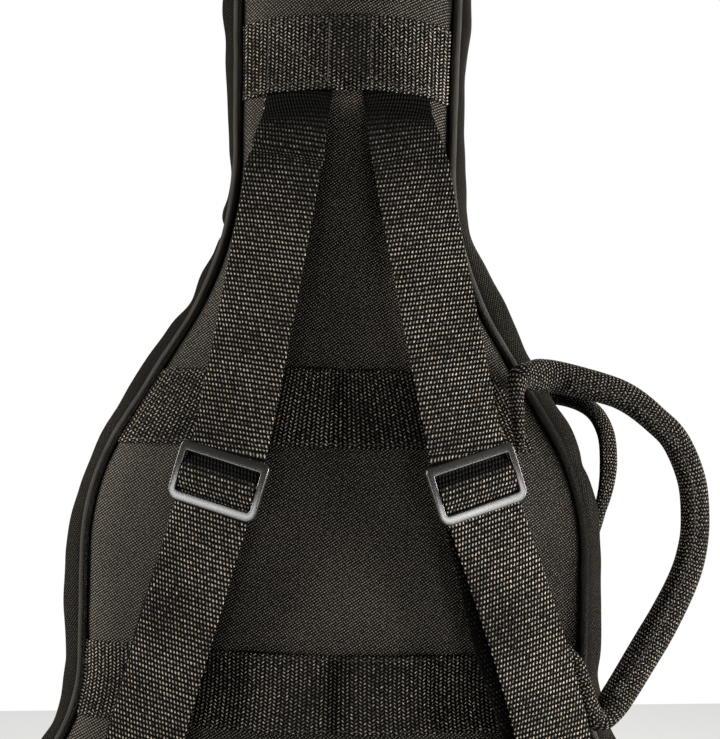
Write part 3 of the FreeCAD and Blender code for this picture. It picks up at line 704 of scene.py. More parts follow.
def surface_ribbon(mesh, line, width, lift=1.0, thickness=WEB_T, start=0.0, depth=back_depth,
                   sign=-1, painted_shade=0.0, fitted=False):
    """Webbing lying on a panel along a line of (x, z) points. A fitted one runs from side to
    side, with its ends cut along the panel's outline."""
    line = np.array(line, float)
    along = unit(np.gradient(line, axis=0))
    side = np.stack([along[:, 1], -along[:, 0]], 1)
    section = web_section(width, thickness, 21)
    x = line[:, :1] + side[:, :1] * section[None, :, 0]
    z = line[:, 1:] + side[:, 1:] * section[None, :, 0]
    if fitted:
        x = follow_outline(x, z, line[:, 1:])
    y = sign * (depth(x, z) + lift + section[None, :, 1])
    run = start + walked(line)
    points = np.stack([x, y, z], -1)
    # The third cloth value carries painted shade into the webbing's colour.
    shade = 1000 * np.broadcast_to(painted_shade, len(line))[:, None]
    cloth = np.stack([np.broadcast_to(section[None, :, 2], x.shape),
                      np.broadcast_to(run[:, None], x.shape),
                      np.broadcast_to(shade, x.shape)], -1)
    mesh.grid(points, cloth, close_columns=True)
    mesh.ends(points, cloth)


def over_roots(x, z):
    """How far the top band is pushed out by the strap ends sewn under its lower edge."""
    share = sum(step(-31, -22, x - middle) * step(-31, -22, middle - x) for middle in (-31, 36))
    return 3.0 * np.clip(share, 0, 1) * (1 - step(702, 728, z))


def band_depth(x, z):
    return back_depth(x, z) + over_roots(x, z)


def on_band(x, z):
    """Points on a band's outer face."""
    return np.stack([x, -band_depth(x, z) - 1.0 - WEB_T / 2, z], 1)


def stitches(mesh, path, outward, length=2.6, gap=1.3, radius=0.32, sink=0.1):
    """A row of sewing stitches lying on a surface, each a short low arch."""
    run, outward = walked(path), np.broadcast_to(outward, path.shape)
    for start in np.arange(0, run[-1] - length, length + gap):
        at = start + np.linspace(0, 1, 4) * length
        piece = np.stack([np.interp(at, run, path[:, k]) for k in range(3)], 1)
        out = np.stack([np.interp(at, run, outward[:, k]) for k in range(3)], 1)
        lift = np.array([-0.5, 0.6, 0.6, -0.5]) * radius - sink
        tube(mesh, piece + out * lift[:, None], out, radius, radius * 0.8, sides=5, caps=False)


STRAP_ENDS = ((-51, -11), (16, 57))
BOX_LOW, BOX_HIGH = 707, 747
for name, height in BANDS.items():
    reach = float(half_width(height)) - BAND_INSET
    web = Mesh()
    x = np.linspace(-reach, MID_BAND_END if name == "mid_band" else reach, 160)
    sag = height + 0.7 * waver(x, 60, 91)
    # The band's middle, between the straps, gets painted shade.
    surface_ribbon(web, np.stack([x, sag], 1), WEB_W, start=1000 + height, depth=band_depth,
                   painted_shade=0.11 * bell(x, 0, reach * 0.6), fitted=True)
    place_piece(web.build(name + "_web", BAND_WEB), "shell", "webbing", name)
    sewing = Mesh()
    for shift in (-WEB_W / 2 + 2.6, WEB_W / 2 - 2.6):
        z = sag + shift
        stitches(sewing, on_band(follow_outline(x, z, sag), z), TO_BACK)
    if name == "top_band":
        for left, right in STRAP_ENDS:
            box = [(left, BOX_LOW), (right, BOX_LOW), (right, BOX_HIGH), (left, BOX_HIGH),
                   (left, BOX_LOW), (right, BOX_HIGH), (right, BOX_LOW), (left, BOX_HIGH)]
            for corner, following in zip(box, box[1:]):
                path = on_band(*np.linspace(corner, following, 30).T)
                stitches(sewing, path, TO_BACK, radius=0.42)
    place_piece(sewing.build(name + "_stitches", THREAD), "shell", "webbing")

# ---- backpack straps ----
STRAPS = {
    "left": {"line": [(674, -35.0, -94.4, 12), (640, -39.5, -97, 12), (560, -52, -103.6, 12),
                      (478, -65.5, -109.2, 12)],
             "buckle": (-72.2, -108.6, 449.0), "knee": (-113.0, -101.9, 298.0),
             "ring": (-154.6, -96.0, 140.0), "turn": 12},
    "right": {"line": [(674, 40.0, -94.2, -12), (640, 46.5, -97.4, -12), (560, 63, -105.2, -14),
                       (478, 80.5, -111.2, -15)],
              "buckle": (88.0, -110.4, 451.0), "knee": (140.5, -103.6, 298.0),
              "ring": (169.0, -95.8, 146.0), "turn": -15},
}
RING_R, RING_TALL = 2.1, 22.0
TURN_R = RING_R + 0.5 + WEB_T / 2


def facing(turn):
    turn = np.radians(turn)
    return np.stack([-np.sin(turn), -np.cos(turn), 0 * turn], -1)


def local_frame(origin, up, outward):
    """Rows: across, up the strap, outward; and the origin."""
    v = unit(up)
    n = unit(outward - v * (outward @ v))
    return np.array(origin, float), np.cross(v, n), v, n


def in_frame(place, local):
    origin, u, v, n = place
    local = np.asarray(local, float)
    return origin + local[..., :1] * u + local[..., 1:2] * v + local[..., 2:3] * n


def buckle_place(strap):
    """The adjuster's own frame, in line with the strap below it."""
    return local_frame(strap["buckle"], np.array(strap["buckle"]) - strap["knee"],
                       facing(np.float64(strap["turn"])))


def round_bar(place, bottom, sense, angles):
    """Webbing's middle line, and its outward directions, where it turns round a bar."""
    sine, cosine = sense * np.sin(angles), np.cos(angles)
    local = np.stack([0 * sine, bottom + TURN_R * sine, TURN_R * cosine - TURN_R], 1)
    return in_frame(place, local), place[2] * sine[:, None] + place[3] * cosine[:, None]


for side, strap in STRAPS.items():
    sign = -1 if side == "left" else 1
    material = STRAP_LEFT if side == "left" else STRAP_RIGHT
    body = "strap_" + side
    knots = [(x, y, z, turn) for z, x, y, turn in strap["line"]]
    top_x = knots[0][0] - (knots[1][0] - knots[0][0]) * 0.9
    top_z = 709.0
    knots = [(top_x, -float(back_depth(top_x, top_z)) + 1.6, top_z, 16 * -sign),
             (top_x * 0.5 + knots[0][0] * 0.5, -float(back_depth(top_x, 694)) - 0.6, 694,
              14 * -sign)] + knots
    knots += [(*strap["buckle"], strap["turn"]), (*strap["knee"], strap["turn"]),
              (*strap["ring"], strap["turn"] * 0.8)]
    path, at = smooth_path(knots, 230)
    turn = path[:, 3]
    out = facing(turn)
    free = step(40, 120, at) * (1 - step(at[-1] - 90, at[-1] - 20, at))
    path = path[:, :3] + out * (1.2 * waver(at, 90, 101 + sign))[:, None] * free[:, None]
    narrow = 0.9 + 0.1 * step(20, 62, at)
    path[:, 0] -= sign * (1 - narrow) * WEB_W / 2
    crease = (-3.6 * bell(at, 52, 4) + 1.8 * bell(at, 63, 7)) * (1 if side == "left" else 0.3)
    strap_mesh = Mesh()
    # The strap's top, under the band's edge, gets painted shadow.
    ribbon(strap_mesh, path + out * crease[:, None], out, bow=3.2 - 2.3 * step(5, 45, at),
           share=narrow, painted_shade=0.55 * (1 - step(2, 40, at)) + 0.26 * (1 - step(10, 110, at)))
    # round the ring and back up behind
    end = local_frame(strap["ring"], np.array(strap["knee"]) - strap["ring"],
                      facing(np.float64(strap["turn"] * 0.8)))
    around, around_out = round_bar(end, 0, -1, np.linspace(0, math.pi, 9))
    buckle = buckle_place(strap)
    knee = np.array(strap["knee"])
    shift = np.array([-7.0 if side == "right" else -2.5, 0, 0])
    back = [np.append(around[-1], strap["turn"] * 0.8),
            np.append((around[-1] * 0.5 + knee * 0.5) + shift * 0.6 - buckle[3] * 2.5,
                      strap["turn"] * 0.9),
            np.append(knee + shift - buckle[3] * 4.4, strap["turn"]),
            np.append(in_frame(buckle, (0, -100, -3.4)) + shift, strap["turn"]),
            np.append(in_frame(buckle, (0, -24, -2.8)) + shift * 0.3, strap["turn"])]
    behind, _ = smooth_path(back, 110)
    loop_path = np.vstack([around[:-1], behind[:, :3]])
    loop_out = np.vstack([around_out[:-1], -facing(behind[:, 3])])
    # The layer that runs back up behind the strap gets painted shade all along.
    ribbon(strap_mesh, loop_path, loop_out, bow=-0.3, start=at[-1], painted_shade=0.35)
    place_piece(strap_mesh.build(side + "_strap_web", material),
                ("shell", body, (knots[1][0], -95, 702), (knots[3][0], -97, 628)),
                "webbing", side + "_strap")

    # the strap wrapped over the buckle's middle bar
    arch = [(0, 13.5, 1.3), (0, 8.5, 3.1), (0, 3.5, 5.6), (0, -3.5, 5.9), (0, -9, 3.6),
            (0, -14.5, 1.3)]
    wrap, _ = smooth_path([in_frame(buckle, p) for p in arch], 26)
    web = Mesh()
    # The wrap's top, under the buckle's top bar, gets painted shadow.
    ribbon(web, wrap, buckle[3], thickness=1.6, bow=0.4, start=at[-1] * 0.35,
           painted_shade=0.7 * (1 - step(0.1, 0.45, np.linspace(0, 1, len(wrap)))))
    place_piece(web.build(side + "_wrap_web", material), "buckle_" + side, "webbing",
                side + "_buckle_wrap")

    # the sewn root under the band, and the anchor at the lower end
    root = Mesh()
    line = np.linspace([top_x, 708.0], [knots[2][0] * 0.6 + top_x * 0.4, 684.0], 16)
    surface_ribbon(root, line, WEB_W - 8, lift=0.1, start=300, thickness=0.8)
    place_piece(root.build(side + "_strap_root", material), "shell", "webbing",
                *(["strap_roots"] if side == "left" else []))
    tab = Mesh()
    low = in_frame(end, (0, -RING_TALL - 46, 0))
    seam = np.array([low[0], -float(back_depth(low[0], low[2])) - 2.2, low[2]])
    fold, fold_out = round_bar(end, -RING_TALL, 1, np.linspace(math.pi, 0, 11))
    under, _ = smooth_path([seam + [0, 0.9, 0], (seam + fold[0]) / 2 + [0, 0.6, 0], fold[0]], 12)
    over, _ = smooth_path([fold[-1], (seam + fold[-1]) / 2 - [0, 0.9, 0], seam - [0, 0.9, 0]], 12)
    tab_path = np.vstack([under[:-1], fold, over[1:]])
    tab_out = np.vstack([np.broadcast_to(-end[3], (11, 3)), fold_out,
                         np.broadcast_to(end[3], (11, 3))])
    ribbon(tab, tab_path, tab_out, width=46)
    place_piece(tab.build(side + "_tab_web", material),
                ("shell", body, tuple(seam), tuple(fold[0] * 0.35 + seam * 0.65)),
                "webbing", side + "_anchor_tab")
    patch = Mesh()
    toward = unit(np.array([strap["knee"][0], strap["knee"][2]]) -
                  [strap["ring"][0], strap["ring"][2]])
    top = np.array([low[0], low[2]]) + toward * 8
    reach, foot = 10.0, top - toward * 10.0
    while reach < 200 and abs(foot[0]) < half_width(foot[1]) - 20 and foot[1] > 40:
        reach += 2
        foot = top - toward * reach
    surface_ribbon(patch, np.linspace(top, foot, 24), 46, lift=0.9, start=80)
    place_piece(patch.build(side + "_anchor_patch", material), "shell", "webbing",
                *(["anchor_patches"] if side == "left" else []))

# ---- buckles ----
BUCKLE_W, BUCKLE_H = 60.0, 38.0


def rounded_rectangle(x0, x1, y0, y1, radii, per_corner=9, per_side=8):
    """Points anticlockwise from the lower left corner, matched in count for any size."""
    points = []
    corners = [(x1, y0, -90, radii[0]), (x1, y1, 0, radii[1]), (x0, y1, 90, radii[2]),
               (x0, y0, 180, radii[3])]
    for x, y, start, r in corners:
        cx = x - r if x == x1 else x + r
        cy = y - r if y == y1 else y + r
        points.append([(cx + r * math.cos(math.radians(start + 90 * k / per_corner)),
                        cy + r * math.sin(math.radians(start + 90 * k / per_corner)))
                       for k in range(per_corner + 1)])
    loop = []
    for i, arc in enumerate(points):
        loop.extend(arc)
        nxt = points[(i + 1) % 4][0]
        for k in range(1, per_side):
            f = k / per_side
            loop.append((arc[-1][0] * (1 - f) + nxt[0] * f, arc[-1][1] * (1 - f) + nxt[1] * f))
    return np.array(loop)


BAR_SECTION = [(0, 0.9), (0.0, 3.6), (0.04, 4.2), (0.1, 4.46), (0.14, 4.5), (0.5, 4.53),
               (0.86, 4.5), (0.9, 4.46), (0.96, 4.2), (1.0, 3.6), (1.0, 0.9), (0.9, 0.25),
               (0.6, 0), (0.4, 0), (0.1, 0.25)]

for side, strap in STRAPS.items():
    place = buckle_place(strap)
    outer = rounded_rectangle(-BUCKLE_W / 2, BUCKLE_W / 2, -BUCKLE_H / 2, BUCKLE_H / 2,
                              (7, 3.5, 3.5, 7))
    inner = rounded_rectangle(-25.6, 25.6, -12.5, 13.0, (2.2, 1.2, 1.2, 2.2))
    rows = []
    for f, n in BAR_SECTION:
        ring = inner * (1 - f) + outer * f
        bowed = n + 1.0 - 1.0 * (ring[:, 1] / (BUCKLE_H / 2)) ** 2
        rows.append(np.column_stack([ring, bowed]))
    local = np.stack(rows, 1)
    mesh = Mesh()
    mesh.grid(in_frame(place, local), local[..., :2], close_rows=True, close_columns=True)
    bar = in_frame(place, np.linspace([-27.0, 0, 3.0], [27.0, 0, 3.0], 12))
    tube(mesh, bar, place[3], 2.9, 1.5, sides=12)
    place_piece(mesh.build(side + "_buckle_frame", PLASTIC, sharp=50), "buckle_" + side,
                "buckle_plastic", side + "_buckle")

# ---- carry handles ----
def handle_piece(name, knots, wide, thick, bodies, hinge, nodes):
    """A rolled webbing handle, fixed where it stands. hinge holds the middle of the line it folds
    along and the step across that line that the bend takes; it is passed on but not used."""
    path, at = smooth_path(knots, 150)
    share = at / at[-1]
    mesh = Mesh()
    w = np.interp(share, *zip(*wide))
    t = np.interp(share, *zip(*thick))
    tube(mesh, path, TO_BACK, w, t, sides=28)
    fold = (*bodies, hinge[0], tuple(np.add(*hinge)))
    place_piece(mesh.build(name, HANDLE_WEB), fold, "webbing", *nodes)
    # the free edge of the rolled webbing, sewn down along the grip
    grip = (share > 0.2) & (share < 0.83)
    _, across, outward = frames(path, TO_BACK)
    lap = path[grip] + across[grip] * (w[grip] * -0.12)[:, None]
    lap = lap + outward[grip] * (t[grip] - 0.1)[:, None]
    edge = Mesh()
    ribbon(edge, lap + across[grip] * (w[grip] * -0.28)[:, None], outward[grip], width=6.5,
           thickness=1.4, columns=5)
    place_piece(edge.build(name + "_lap", HANDLE_WEB), fold, "webbing")
    sewing = Mesh()
    stitches(sewing, lap + across[grip] * (w[grip] * -0.2)[:, None] + outward[grip] * 0.8,
             outward[grip])
    place_piece(sewing.build(name + "_stitches", THREAD), fold, "webbing")


HANDLE = [(116.5, -101.5, 474), (115, -103.5, 490), (113.5, -102, 508), (115, -98, 518),
          (122, -92, 521), (141, -82, 522), (175, -79, 515), (192, -79, 508), (208, -79, 496),
          (222, -79, 482), (233, -79, 457), (236, -79, 431), (234.5, -79, 411), (229, -79, 391),
          (217, -79, 365), (202, -79, 338), (189, -80, 316), (178, -84, 302), (170, -88, 303),
          (164, -92, 318), (157, -94, 335), (147, -96, 346)]
handle_piece("back_handle_web", HANDLE,
             [(0, 3), (0.04, 4.3), (0.08, 4.8), (0.11, 8), (0.15, 11), (0.22, 10.3), (0.35, 9),
              (0.55, 9.2), (0.72, 11), (0.83, 10.6), (0.87, 8.4), (0.91, 6), (1, 6.5)],
             [(0, 2), (0.04, 3), (0.08, 4.5), (0.12, 7), (0.2, 8), (0.6, 8), (0.84, 8),
              (0.9, 4.5), (0.94, 3), (1, 2)],
             ("shell", "carry_handle_back"), ((143, -80, 417), (17.2, 0, 5.4)), ["back_handle"])
FRONT_HANDLE = [(108, 70, 509), (120, 70.5, 512), (138, 74, 517), (156, 73, 520), (176, 62, 518),
                (193, 43, 508), (200, 26, 491), (201, 17, 470), (199, 14, 449), (195, 19, 428),
                (190, 34, 403), (187, 54, 374), (183, 71, 349), (172, 78, 336), (158, 76, 331),
                (146, 73.5, 329), (137, 73.5, 328)]
handle_piece("front_handle_web", FRONT_HANDLE,
             [(0, 7), (0.1, 8), (0.25, 6.5), (0.45, 6.5), (0.55, 4.6), (0.65, 6.5), (0.9, 8),
              (1, 7)],
             [(0, 2.5), (0.1, 5), (0.25, 6), (0.55, 4.5), (0.75, 6), (0.9, 5), (1, 2.5)],
             ("lid", "carry_handle_front"), ((132.5, 77.3, 421.5), (17.6, 0, 4.0)),
             ["front_handle"])

# front handle tabs
for name, height in (("front_tab_high", 503.0), ("front_tab_low", 328.0)):
    tab = Mesh()
    x = np.linspace(98, float(half_width(height)) - 4, 16)
    surface_ribbon(tab, np.stack([x, 0 * x + height], 1), 46, depth=front_depth, sign=1)
    place_piece(tab.build(name, BAND_WEB), "lid", "webbing",
                *(["front_handle_tabs"] if name.endswith("high") else []))

# ---- hang loop ----
LOOP_PATH = [(-24, 1092), (-23, 1108), (-19.5, 1127), (-11, 1139), (0, 1142), (11, 1139),
             (19.5, 1127), (23, 1108), (24, 1092)]
path, _ = smooth_path([(x, -57, z) for x, z in LOOP_PATH], 70)
web = Mesh()
ribbon(web, path, TO_BACK, width=20, thickness=2.2, bow=0.5)
place_piece(web.build("hang_loop_web", BAND_WEB), "hanging_loop", "webbing", "hang_loop")


# ---- main zip ----
def blocks(mesh, centres, axes, halves, slot=0):
    """Small chamfered blocks: centres (N,3), three axes for one or all, and three half sizes."""
    axes = [np.broadcast_to(axis, centres.shape) for axis in axes]
    shape = [(a, b, c) for c in (-1, 1) for a, b in ((-1, -0.6), (-0.6, -1), (0.6, -1), (1, -0.6),
                                                     (1, 0.6), (0.6, 1), (-0.6, 1), (-1, 0.6))]
    corners = sum(np.array([p[k] for p in shape])[None, :, None] * halves[k] * axes[k][:, None]
                  for k in range(3)) + centres[:, None]
    count = len(centres)
    mesh.points.append(corners.reshape(-1, 3))
    mesh.cloth.append(corners.reshape(-1, 3))
    for k in range(count):
        low = mesh.count + 16 * k
        for i in range(8):
            j = (i + 1) % 8
            mesh.faces.append([low + i, low + j, low + 8 + j, low + 8 + i])
        mesh.faces.append([low + i for i in range(8)])
        mesh.faces.append([low + 8 + i for i in range(8)])
    mesh.slots.extend([slot] * (10 * count))
    mesh.count += 16 * count


TOOTH = 2.6
count = int(LOOP_LENGTH / TOOTH)
index = np.arange(LOOP_POINTS + 1)
ring = np.vstack([LOOP, LOOP[:1]])
normal = np.vstack([LOOP_NORMALS, LOOP_NORMALS[:1]])
for name, y, shift, body, node in (("zip_teeth_rear", 24.3, 0.0, "shell", "rear_zip_coil"),
                                   ("zip_teeth_lid", 27.7, 0.5, "lid", "lid_zip_coil")):
    place = (np.arange(count) + shift) / count * LOOP_POINTS
    x, z = (np.interp(place, index, ring[:, k]) for k in (0, 1))
    nx, nz = (np.interp(place, index, normal[:, k]) for k in (0, 1))
    keep = ~((x < 0) & (z > HINGE_LOW) & (z < HINGE_HIGH))
    x, z, nx, nz = x[keep], z[keep], nx[keep], nz[keep]
    outward = np.stack([nx, 0 * nx, nz], 1)
    centres = np.stack([x, 0 * x + y, z], 1) + outward * 9.7
    along = np.stack([-nz, 0 * nx, nx], 1)
    teeth = Mesh()
    blocks(teeth, centres, (along, outward, TO_FRONT), (0.8, 1.0, 1.9))
    place_piece(teeth.build(name, TEETH, sharp=40), body, "zip_coil", node)

# the cloth hinge
at_hinge = (LOOP[:, 0] < 0) & (LOOP[:, 1] > HINGE_LOW - 3) & (LOOP[:, 1] < HINGE_HIGH + 3)
strip, strip_normal = LOOP[at_hinge], LOOP_NORMALS[at_hinge]
STRIP_Y, STRIP_WIDE = 13.5, 25
y = np.linspace(STRIP_Y, STRIP_Y + STRIP_WIDE, 15)
lift = 9.9 + 0.5 * np.sin(math.pi * (y - STRIP_Y) / STRIP_WIDE)
layers = []
for thick in (0.0, -1.0):
    layers.append(np.stack([strip[:, :1] + strip_normal[:, :1] * (lift + thick),
                            np.broadcast_to(y, (len(strip), len(y))),
                            strip[:, 1:] + strip_normal[:, 1:] * (lift + thick)], -1))
points = np.concatenate([layers[0], layers[1][:, ::-1]], 1)
cloth = np.stack([points[..., 1], points[..., 2]], -1)
hinge = Mesh()
hinge.grid(points, cloth, close_columns=True)
hinge.ends(points, cloth)
place_piece(hinge.build("hinge_cloth", SHADED_GUSSET_CLOTH, sharp=60),
            ("shell", "lid", (-224.6, 19, 165), (-224.6, 33, 165)), "shell_fabric", "hinge_strip")

# ---- front pockets ----
POCKET_POINTS, POCKET_EDGE, POCKET_TOOTH = 480, 5.4, 2.2


def leaned(z, flat):
    """The outer face of a pocket, which leans with the front panel."""
    return flat - LEAN * (z - OUTLINE_Z)


def between(start, end, outside, inside, x):
    """1 from start + inside to end - inside, and 0 outside start - outside, end + outside."""
    return step(start - outside, start + inside, x) * step(-end - outside, -end + inside, -x)


def front_pocket(name, corners, flat, puff, spine, zip_box, node):
    """A soft pocket: walls rising from the panel, a rounded edge, and a face with a zip slot."""
    loop, length = rounded_loop(corners, POCKET_POINTS)
    normal = loop_normals(loop)
    at = np.arange(POCKET_POINTS) / POCKET_POINTS * length
    middle = np.stack([0 * at, np.clip(loop[:, 1], *spine)], 1)
    x0, x1, z0, z1 = zip_box

    def face(x, z):
        edge = np.min(np.hypot(x[..., None] - loop[:, 0], z[..., None] - loop[:, 1]), -1)
        share = step(4, 90, edge)
        beside = between(x0, x1, 26, -2, x) * between(z0, z1, 26, -2, z)
        slot = between(x0, x1, 2, 1, x) * between(z0, z1, 2, 1, z)
        swell = puff * share * (1 - beside) + 0.7 * noise(x, z, 46, 131) * share * (1 - beside)
        return leaned(z, flat) + swell - 1.9 * slot

    wall = np.array([(0, 0.0), (-1.2, 0.2), (-1.8, 0.45), (-1.2, 0.7), (0.2, 0.86), (1.6, 0.94),
                     (3.4, 0.985), (POCKET_EDGE, 1.0)])
    rows, cloth = [], []
    foot = front_depth(*loop.T) - 0.4
    inner = loop - normal * POCKET_EDGE
    top = face(*inner.T)
    for inset, share in wall:
        ring = loop - normal * (inset + 0.5 * share * waver(at, 40, 132))[:, None]
        rows.append(np.stack([ring[:, 0], foot + (top - foot) * share, ring[:, 1]], 1))
        cloth.append(np.stack([ring[:, 0] + normal[:, 0] * (1 - share) * 20,
                               ring[:, 1] + normal[:, 1] * (1 - share) * 20], 1))
    for share in np.linspace(0, 1, 42)[1:]:
        ring = inner * (1 - share) + middle * share
        rows.append(np.stack([ring[:, 0], face(*ring.T), ring[:, 1]], 1))
        cloth.append(ring)
    under = []
    for share in np.linspace(0, 1, 14):
        ring = loop * (1 - share) + middle * share
        under.append(np.stack([ring[:, 0], front_depth(*ring.T) - 0.4, ring[:, 1]], 1))
    mesh = Mesh()
    mesh.grid(np.array(rows), np.array(cloth), close_columns=True)
    mesh.grid(np.array(under), np.array(under)[..., ::2], close_columns=True, flip=True)
    thing = mesh.build(name, SHELL_CLOTH, weld=0.02)
    place_piece(thing, "lid", "shell_fabric", node)

    cord = Mesh()
    ring = loop - normal * 1.2
    path = np.stack([ring[:, 0], top - 1.3, ring[:, 1]], 1)
    tube(cord, path, np.stack([normal[:, 0], 0 * at, normal[:, 1]], 1), 1.9, 1.9, sides=10,
         closed=True)
    place_piece(cord.build(name + "_piping", PIPING_CLOTH), "lid", "piping")


def pocket_zip(name, start, end, flat, node):
    """A closed zip lying in a pocket's face: tape and two rows of interlocked teeth."""
    start, end = np.array(start, float), np.array(end, float)
    line = np.linspace(start, end, 40)
    along = unit(end - start)
    mesh = Mesh()
    surface_ribbon(mesh, line, 17.0, lift=-1.0, thickness=0.9,
                   depth=lambda x, z: leaned(z, flat) + 0 * x, sign=1)
    length = np.linalg.norm(end - start)
    count = int((length - 8) / POCKET_TOOTH)
    across = np.array([along[1], -along[0]])
    for side, shift in ((-1, 0.0), (1, POCKET_TOOTH / 2)):
        run = 4 + shift + POCKET_TOOTH * np.arange(count)
        at = start + along * run[:, None] + across * side * 1.1
        centres = np.stack([at[:, 0], leaned(at[:, 1], flat) - 0.1, at[:, 1]], 1)
        axes = ((along[0], 0, along[1]), (across[0], 0, across[1]), TO_FRONT)
        blocks(mesh, centres, axes, (0.75, 1.8, 0.65), slot=1)
    place_piece(mesh.build(name, [TAPE_CLOTH, TEETH], sharp=40), "lid", "zip_tape", node)


front_pocket("front_pocket", [(146, 62, 70), (140, 470, 26), (-140, 470, 26), (-146, 62, 70)],
             106.0, 4.5, (190, 350), (-124, 124, 427, 445), "accessory_pocket")
pocket_zip("front_pocket_zip", (-123, 436), (123, 436), 106.0, "accessory_pocket_zip")
front_pocket("upper_pocket", [(46, 590, 14), (50, 880, 14), (-50, 880, 14), (-46, 590, 14)],
             93.0, 1.0, (640, 830), (-9, 9, 612, 858), "neck_pocket")
pocket_zip("upper_pocket_zip", (0, 613), (0, 857), 93.0, "neck_pocket_zip")


# ---- pads inside ----
def applied(thing):
    """Replaces an object's mesh with its evaluated one and drops its modifiers."""
    graph = bpy.context.evaluated_depsgraph_get()
    made = bpy.data.meshes.new_from_object(thing.evaluated_get(graph))
    thing.modifiers.clear()
    thing.data = made


CLOTH_FRAMES = 20


def soft_pad(name, profile, z_low, z_high, material, node, cap=0.004, voxel=0.004):
    """A stuffed pad: an extruded outline, remeshed, blown up a little as cloth, and smoothed."""
    mesh = Mesh()
    ring = np.array(profile, float)
    rows = np.array([np.column_stack([ring, np.full(len(ring), z)]) for z in (z_low, z_high)])
    mesh.grid(rows, rows, close_columns=True)
    mesh.faces.append(list(range(len(ring))))
    mesh.faces.append([len(ring) + k for k in range(len(ring))])
    mesh.slots.extend([0, 0])
    thing = mesh.build(name, material)
    remesh = thing.modifiers.new("even", "REMESH")
    remesh.mode = "VOXEL"
    remesh.voxel_size = voxel
    applied(thing)
    before = np.empty(len(thing.data.vertices) * 3)
    thing.data.vertices.foreach_get("co", before)
    cloth = thing.modifiers.new("cloth", "CLOTH")
    cloth.settings.use_pressure = True
    cloth.settings.uniform_pressure_force = 4
    cloth.settings.effector_weights.gravity = 0
    cloth.point_cache.frame_start, cloth.point_cache.frame_end = 1, CLOTH_FRAMES
    for number in range(1, CLOTH_FRAMES + 1):
        bpy.context.scene.frame_set(number)
    applied(thing)
    after = np.empty(before.size)
    thing.data.vertices.foreach_get("co", after)
    move = (after - before).reshape(-1, 3)
    reach = np.linalg.norm(move, axis=1, keepdims=True)
    move = move * np.minimum(1, cap / np.maximum(reach, 1e-9))
    thing.data.vertices.foreach_set("co", (before.reshape(-1, 3) + move).ravel())
    bpy.context.scene.frame_set(1)
    smooth = thing.modifiers.new("smooth", "SMOOTH")
    smooth.iterations = 4
    thing.modifiers.new("finer", "SUBSURF").render_levels = 1
    applied(thing)
    thing.data.materials.clear()
    thing.data.materials.append(material)
    thing.data.shade_smooth()
    place_piece(thing, "shell", "lining", node)


def block_outline(x, y0, y1, corner):
    return rounded_loop([(x, y0, corner), (x, y1, corner), (-x, y1, corner), (-x, y0, corner)],
                        64)[0]


NOTCH_R = 29.5
notch = [(NOTCH_R * math.cos(a), -6 - NOTCH_R * math.sin(a))
         for a in np.linspace(0.3, math.pi - 0.3, 15)]
cradle_back = [(x, -float(back_depth(x, 747.0)) + 15.5) for x in np.linspace(-57, 57, 13)]
soft_pad("neck_rest", [(58, -17)] + notch + [(-58, -17)] + cradle_back, 724, 771, PLUSH,
         "neck_cradle")
soft_pad("base_pad", block_outline(86, -45, 17, 12), 21.5, 26.5, PLUSH, "end_pad", voxel=0.003,
         cap=0.002)
soft_pad("top_pad", block_outline(44, -43, 15, 10), 1070, 1076.5, PLUSH, "head_pad", voxel=0.003,
         cap=0.002)
tie = Mesh()
x = np.linspace(-60, 60, 40)
tie_path = np.stack([x, -12.6 + 0.3 * np.cos(x / 60 * math.pi), 0 * x + 747.5], 1)
ribbon(tie, tie_path, TO_FRONT, width=25, thickness=1.7)
place_piece(tie.build("neck_tie_web", HOOK), "shell", "hook_loop", "neck_tie")

# ---- finishes of the CAD parts that stay ----
FINISHES = {"left_ring": DARK_METAL, "right_ring": DARK_METAL, "main_slider_a": DARK_METAL,
            "main_slider_b": DARK_METAL, "pocket_slider": DARK_METAL,
            "neck_pocket_slider": DARK_METAL, "main_pull_a": PULL, "main_pull_b": PULL,
            "pocket_pull": PULL, "neck_pocket_pull": PULL, "rear_base_guard": RUBBER,
            "lid_base_guard": RUBBER}
for node, material in FINISHES.items():
    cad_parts[node].data.materials.clear()
    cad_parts[node].data.materials.append(material)

# ---- floor, light and camera ----
floor_mesh = bpy.data.meshes.new("floor")
floor_mesh.from_pydata([(-3, -4, 0), (3, -4, 0), (3, 1.65, 0), (-3, 0.76, 0)], [], [(0, 1, 2, 3)])
floor = bpy.data.objects.new("floor", floor_mesh)
bpy.context.scene.collection.objects.link(floor)
paper = plain_cloth("floor_paper", (0.2, 0.2, 0.198), 0.7, 30.0, 0.00001, spread=0.02)
glow = paper.node_tree.nodes["Principled BSDF"].inputs
glow["Emission Color"].default_value = (1, 1, 0.985, 1)
glow["Emission Strength"].default_value = 0.5
floor_mesh.materials.append(paper)

world = bpy.data.worlds.new("studio")
bpy.context.scene.world = world
world.use_nodes = True
tree = world.node_tree
tree.nodes.clear()


def world_node(kind, **settings):
    made = tree.nodes.new(kind)
    for key, value in settings.items():
        made.inputs[key].default_value = value
    return made


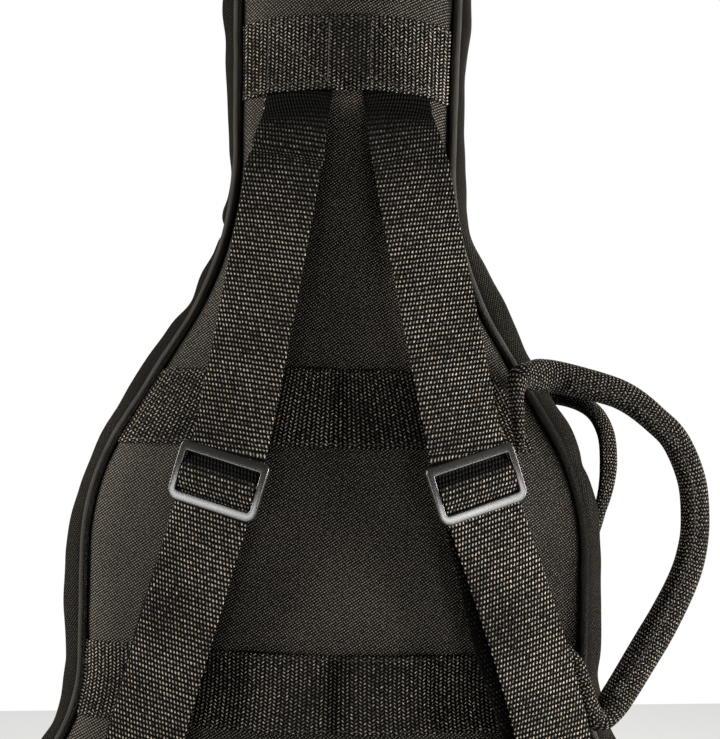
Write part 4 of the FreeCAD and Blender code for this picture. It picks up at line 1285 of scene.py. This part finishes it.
seen = world_node("ShaderNodeBackground", Color=(1, 1, 1, 1), Strength=1.0)
light = world_node("ShaderNodeBackground", Color=(1, 1, 1, 1), Strength=0.02)
mix = world_node("ShaderNodeMixShader")
path_node = world_node("ShaderNodeLightPath")
output = world_node("ShaderNodeOutputWorld")
tree.links.new(path_node.outputs["Is Camera Ray"], mix.inputs[0])
tree.links.new(light.outputs[0], mix.inputs[1])
tree.links.new(seen.outputs[0], mix.inputs[2])
tree.links.new(mix.outputs[0], output.inputs[0])


def softbox(name, at, target, size, power, color=(1, 1, 1)):
    data = bpy.data.lights.new(name, "AREA")
    data.shape = "RECTANGLE"
    data.size, data.size_y = size
    data.energy = power
    data.color = color
    lamp = bpy.data.objects.new(name, data)
    bpy.context.scene.collection.objects.link(lamp)
    lamp.location = at
    aim = np.array(target, float) - at
    lamp.rotation_mode = "QUATERNION"
    lamp.rotation_quaternion = Vector(aim).to_track_quat("-Z", "Y")


softbox("key_left", (-1.3, -0.28, 0.85), (0, -0.08, 0.5), (0.35, 1.1), 40, (1, 0.96, 0.9))
softbox("key_right", (1.35, -0.31, 0.6), (0, -0.08, 0.42), (0.35, 1.0), 60, (1, 0.96, 0.91))
softbox("glint_left", (-0.9, -1.33, 0.16), (-0.07, -0.1, 0.43), (0.6, 0.3), 5.5)
softbox("glint_right", (1.0, -1.28, 0.25), (0.09, -0.1, 0.43), (0.6, 0.3), 7)
softbox("low_front", (0.0, -1.5, 0.06), (0, -0.05, 0.45), (1.1, 0.05), 1)
softbox("front_top", (0.2, -2.2, 2.2), (0, -0.05, 0.5), (1.6, 1.0), 1.0)
softbox("from_behind", (0.3, 1.6, 1.8), (0, 0.05, 0.5), (1.8, 1.2), 34)

camera_data = bpy.data.cameras.new("camera")
camera_data.sensor_fit = "HORIZONTAL"
camera_data.sensor_width = 36.0
camera_data.lens = 52.4
camera_data.shift_y = 0.127
camera_data.clip_start = 0.01
camera = bpy.data.objects.new("camera", camera_data)
bpy.context.scene.collection.objects.link(camera)
camera.location = (0.0155, -0.766, 0.464)
camera.rotation_euler = (math.radians(90), math.radians(-1.4), 0)
bpy.context.scene.camera = camera
bpy.context.scene.view_settings.view_transform = "Standard"
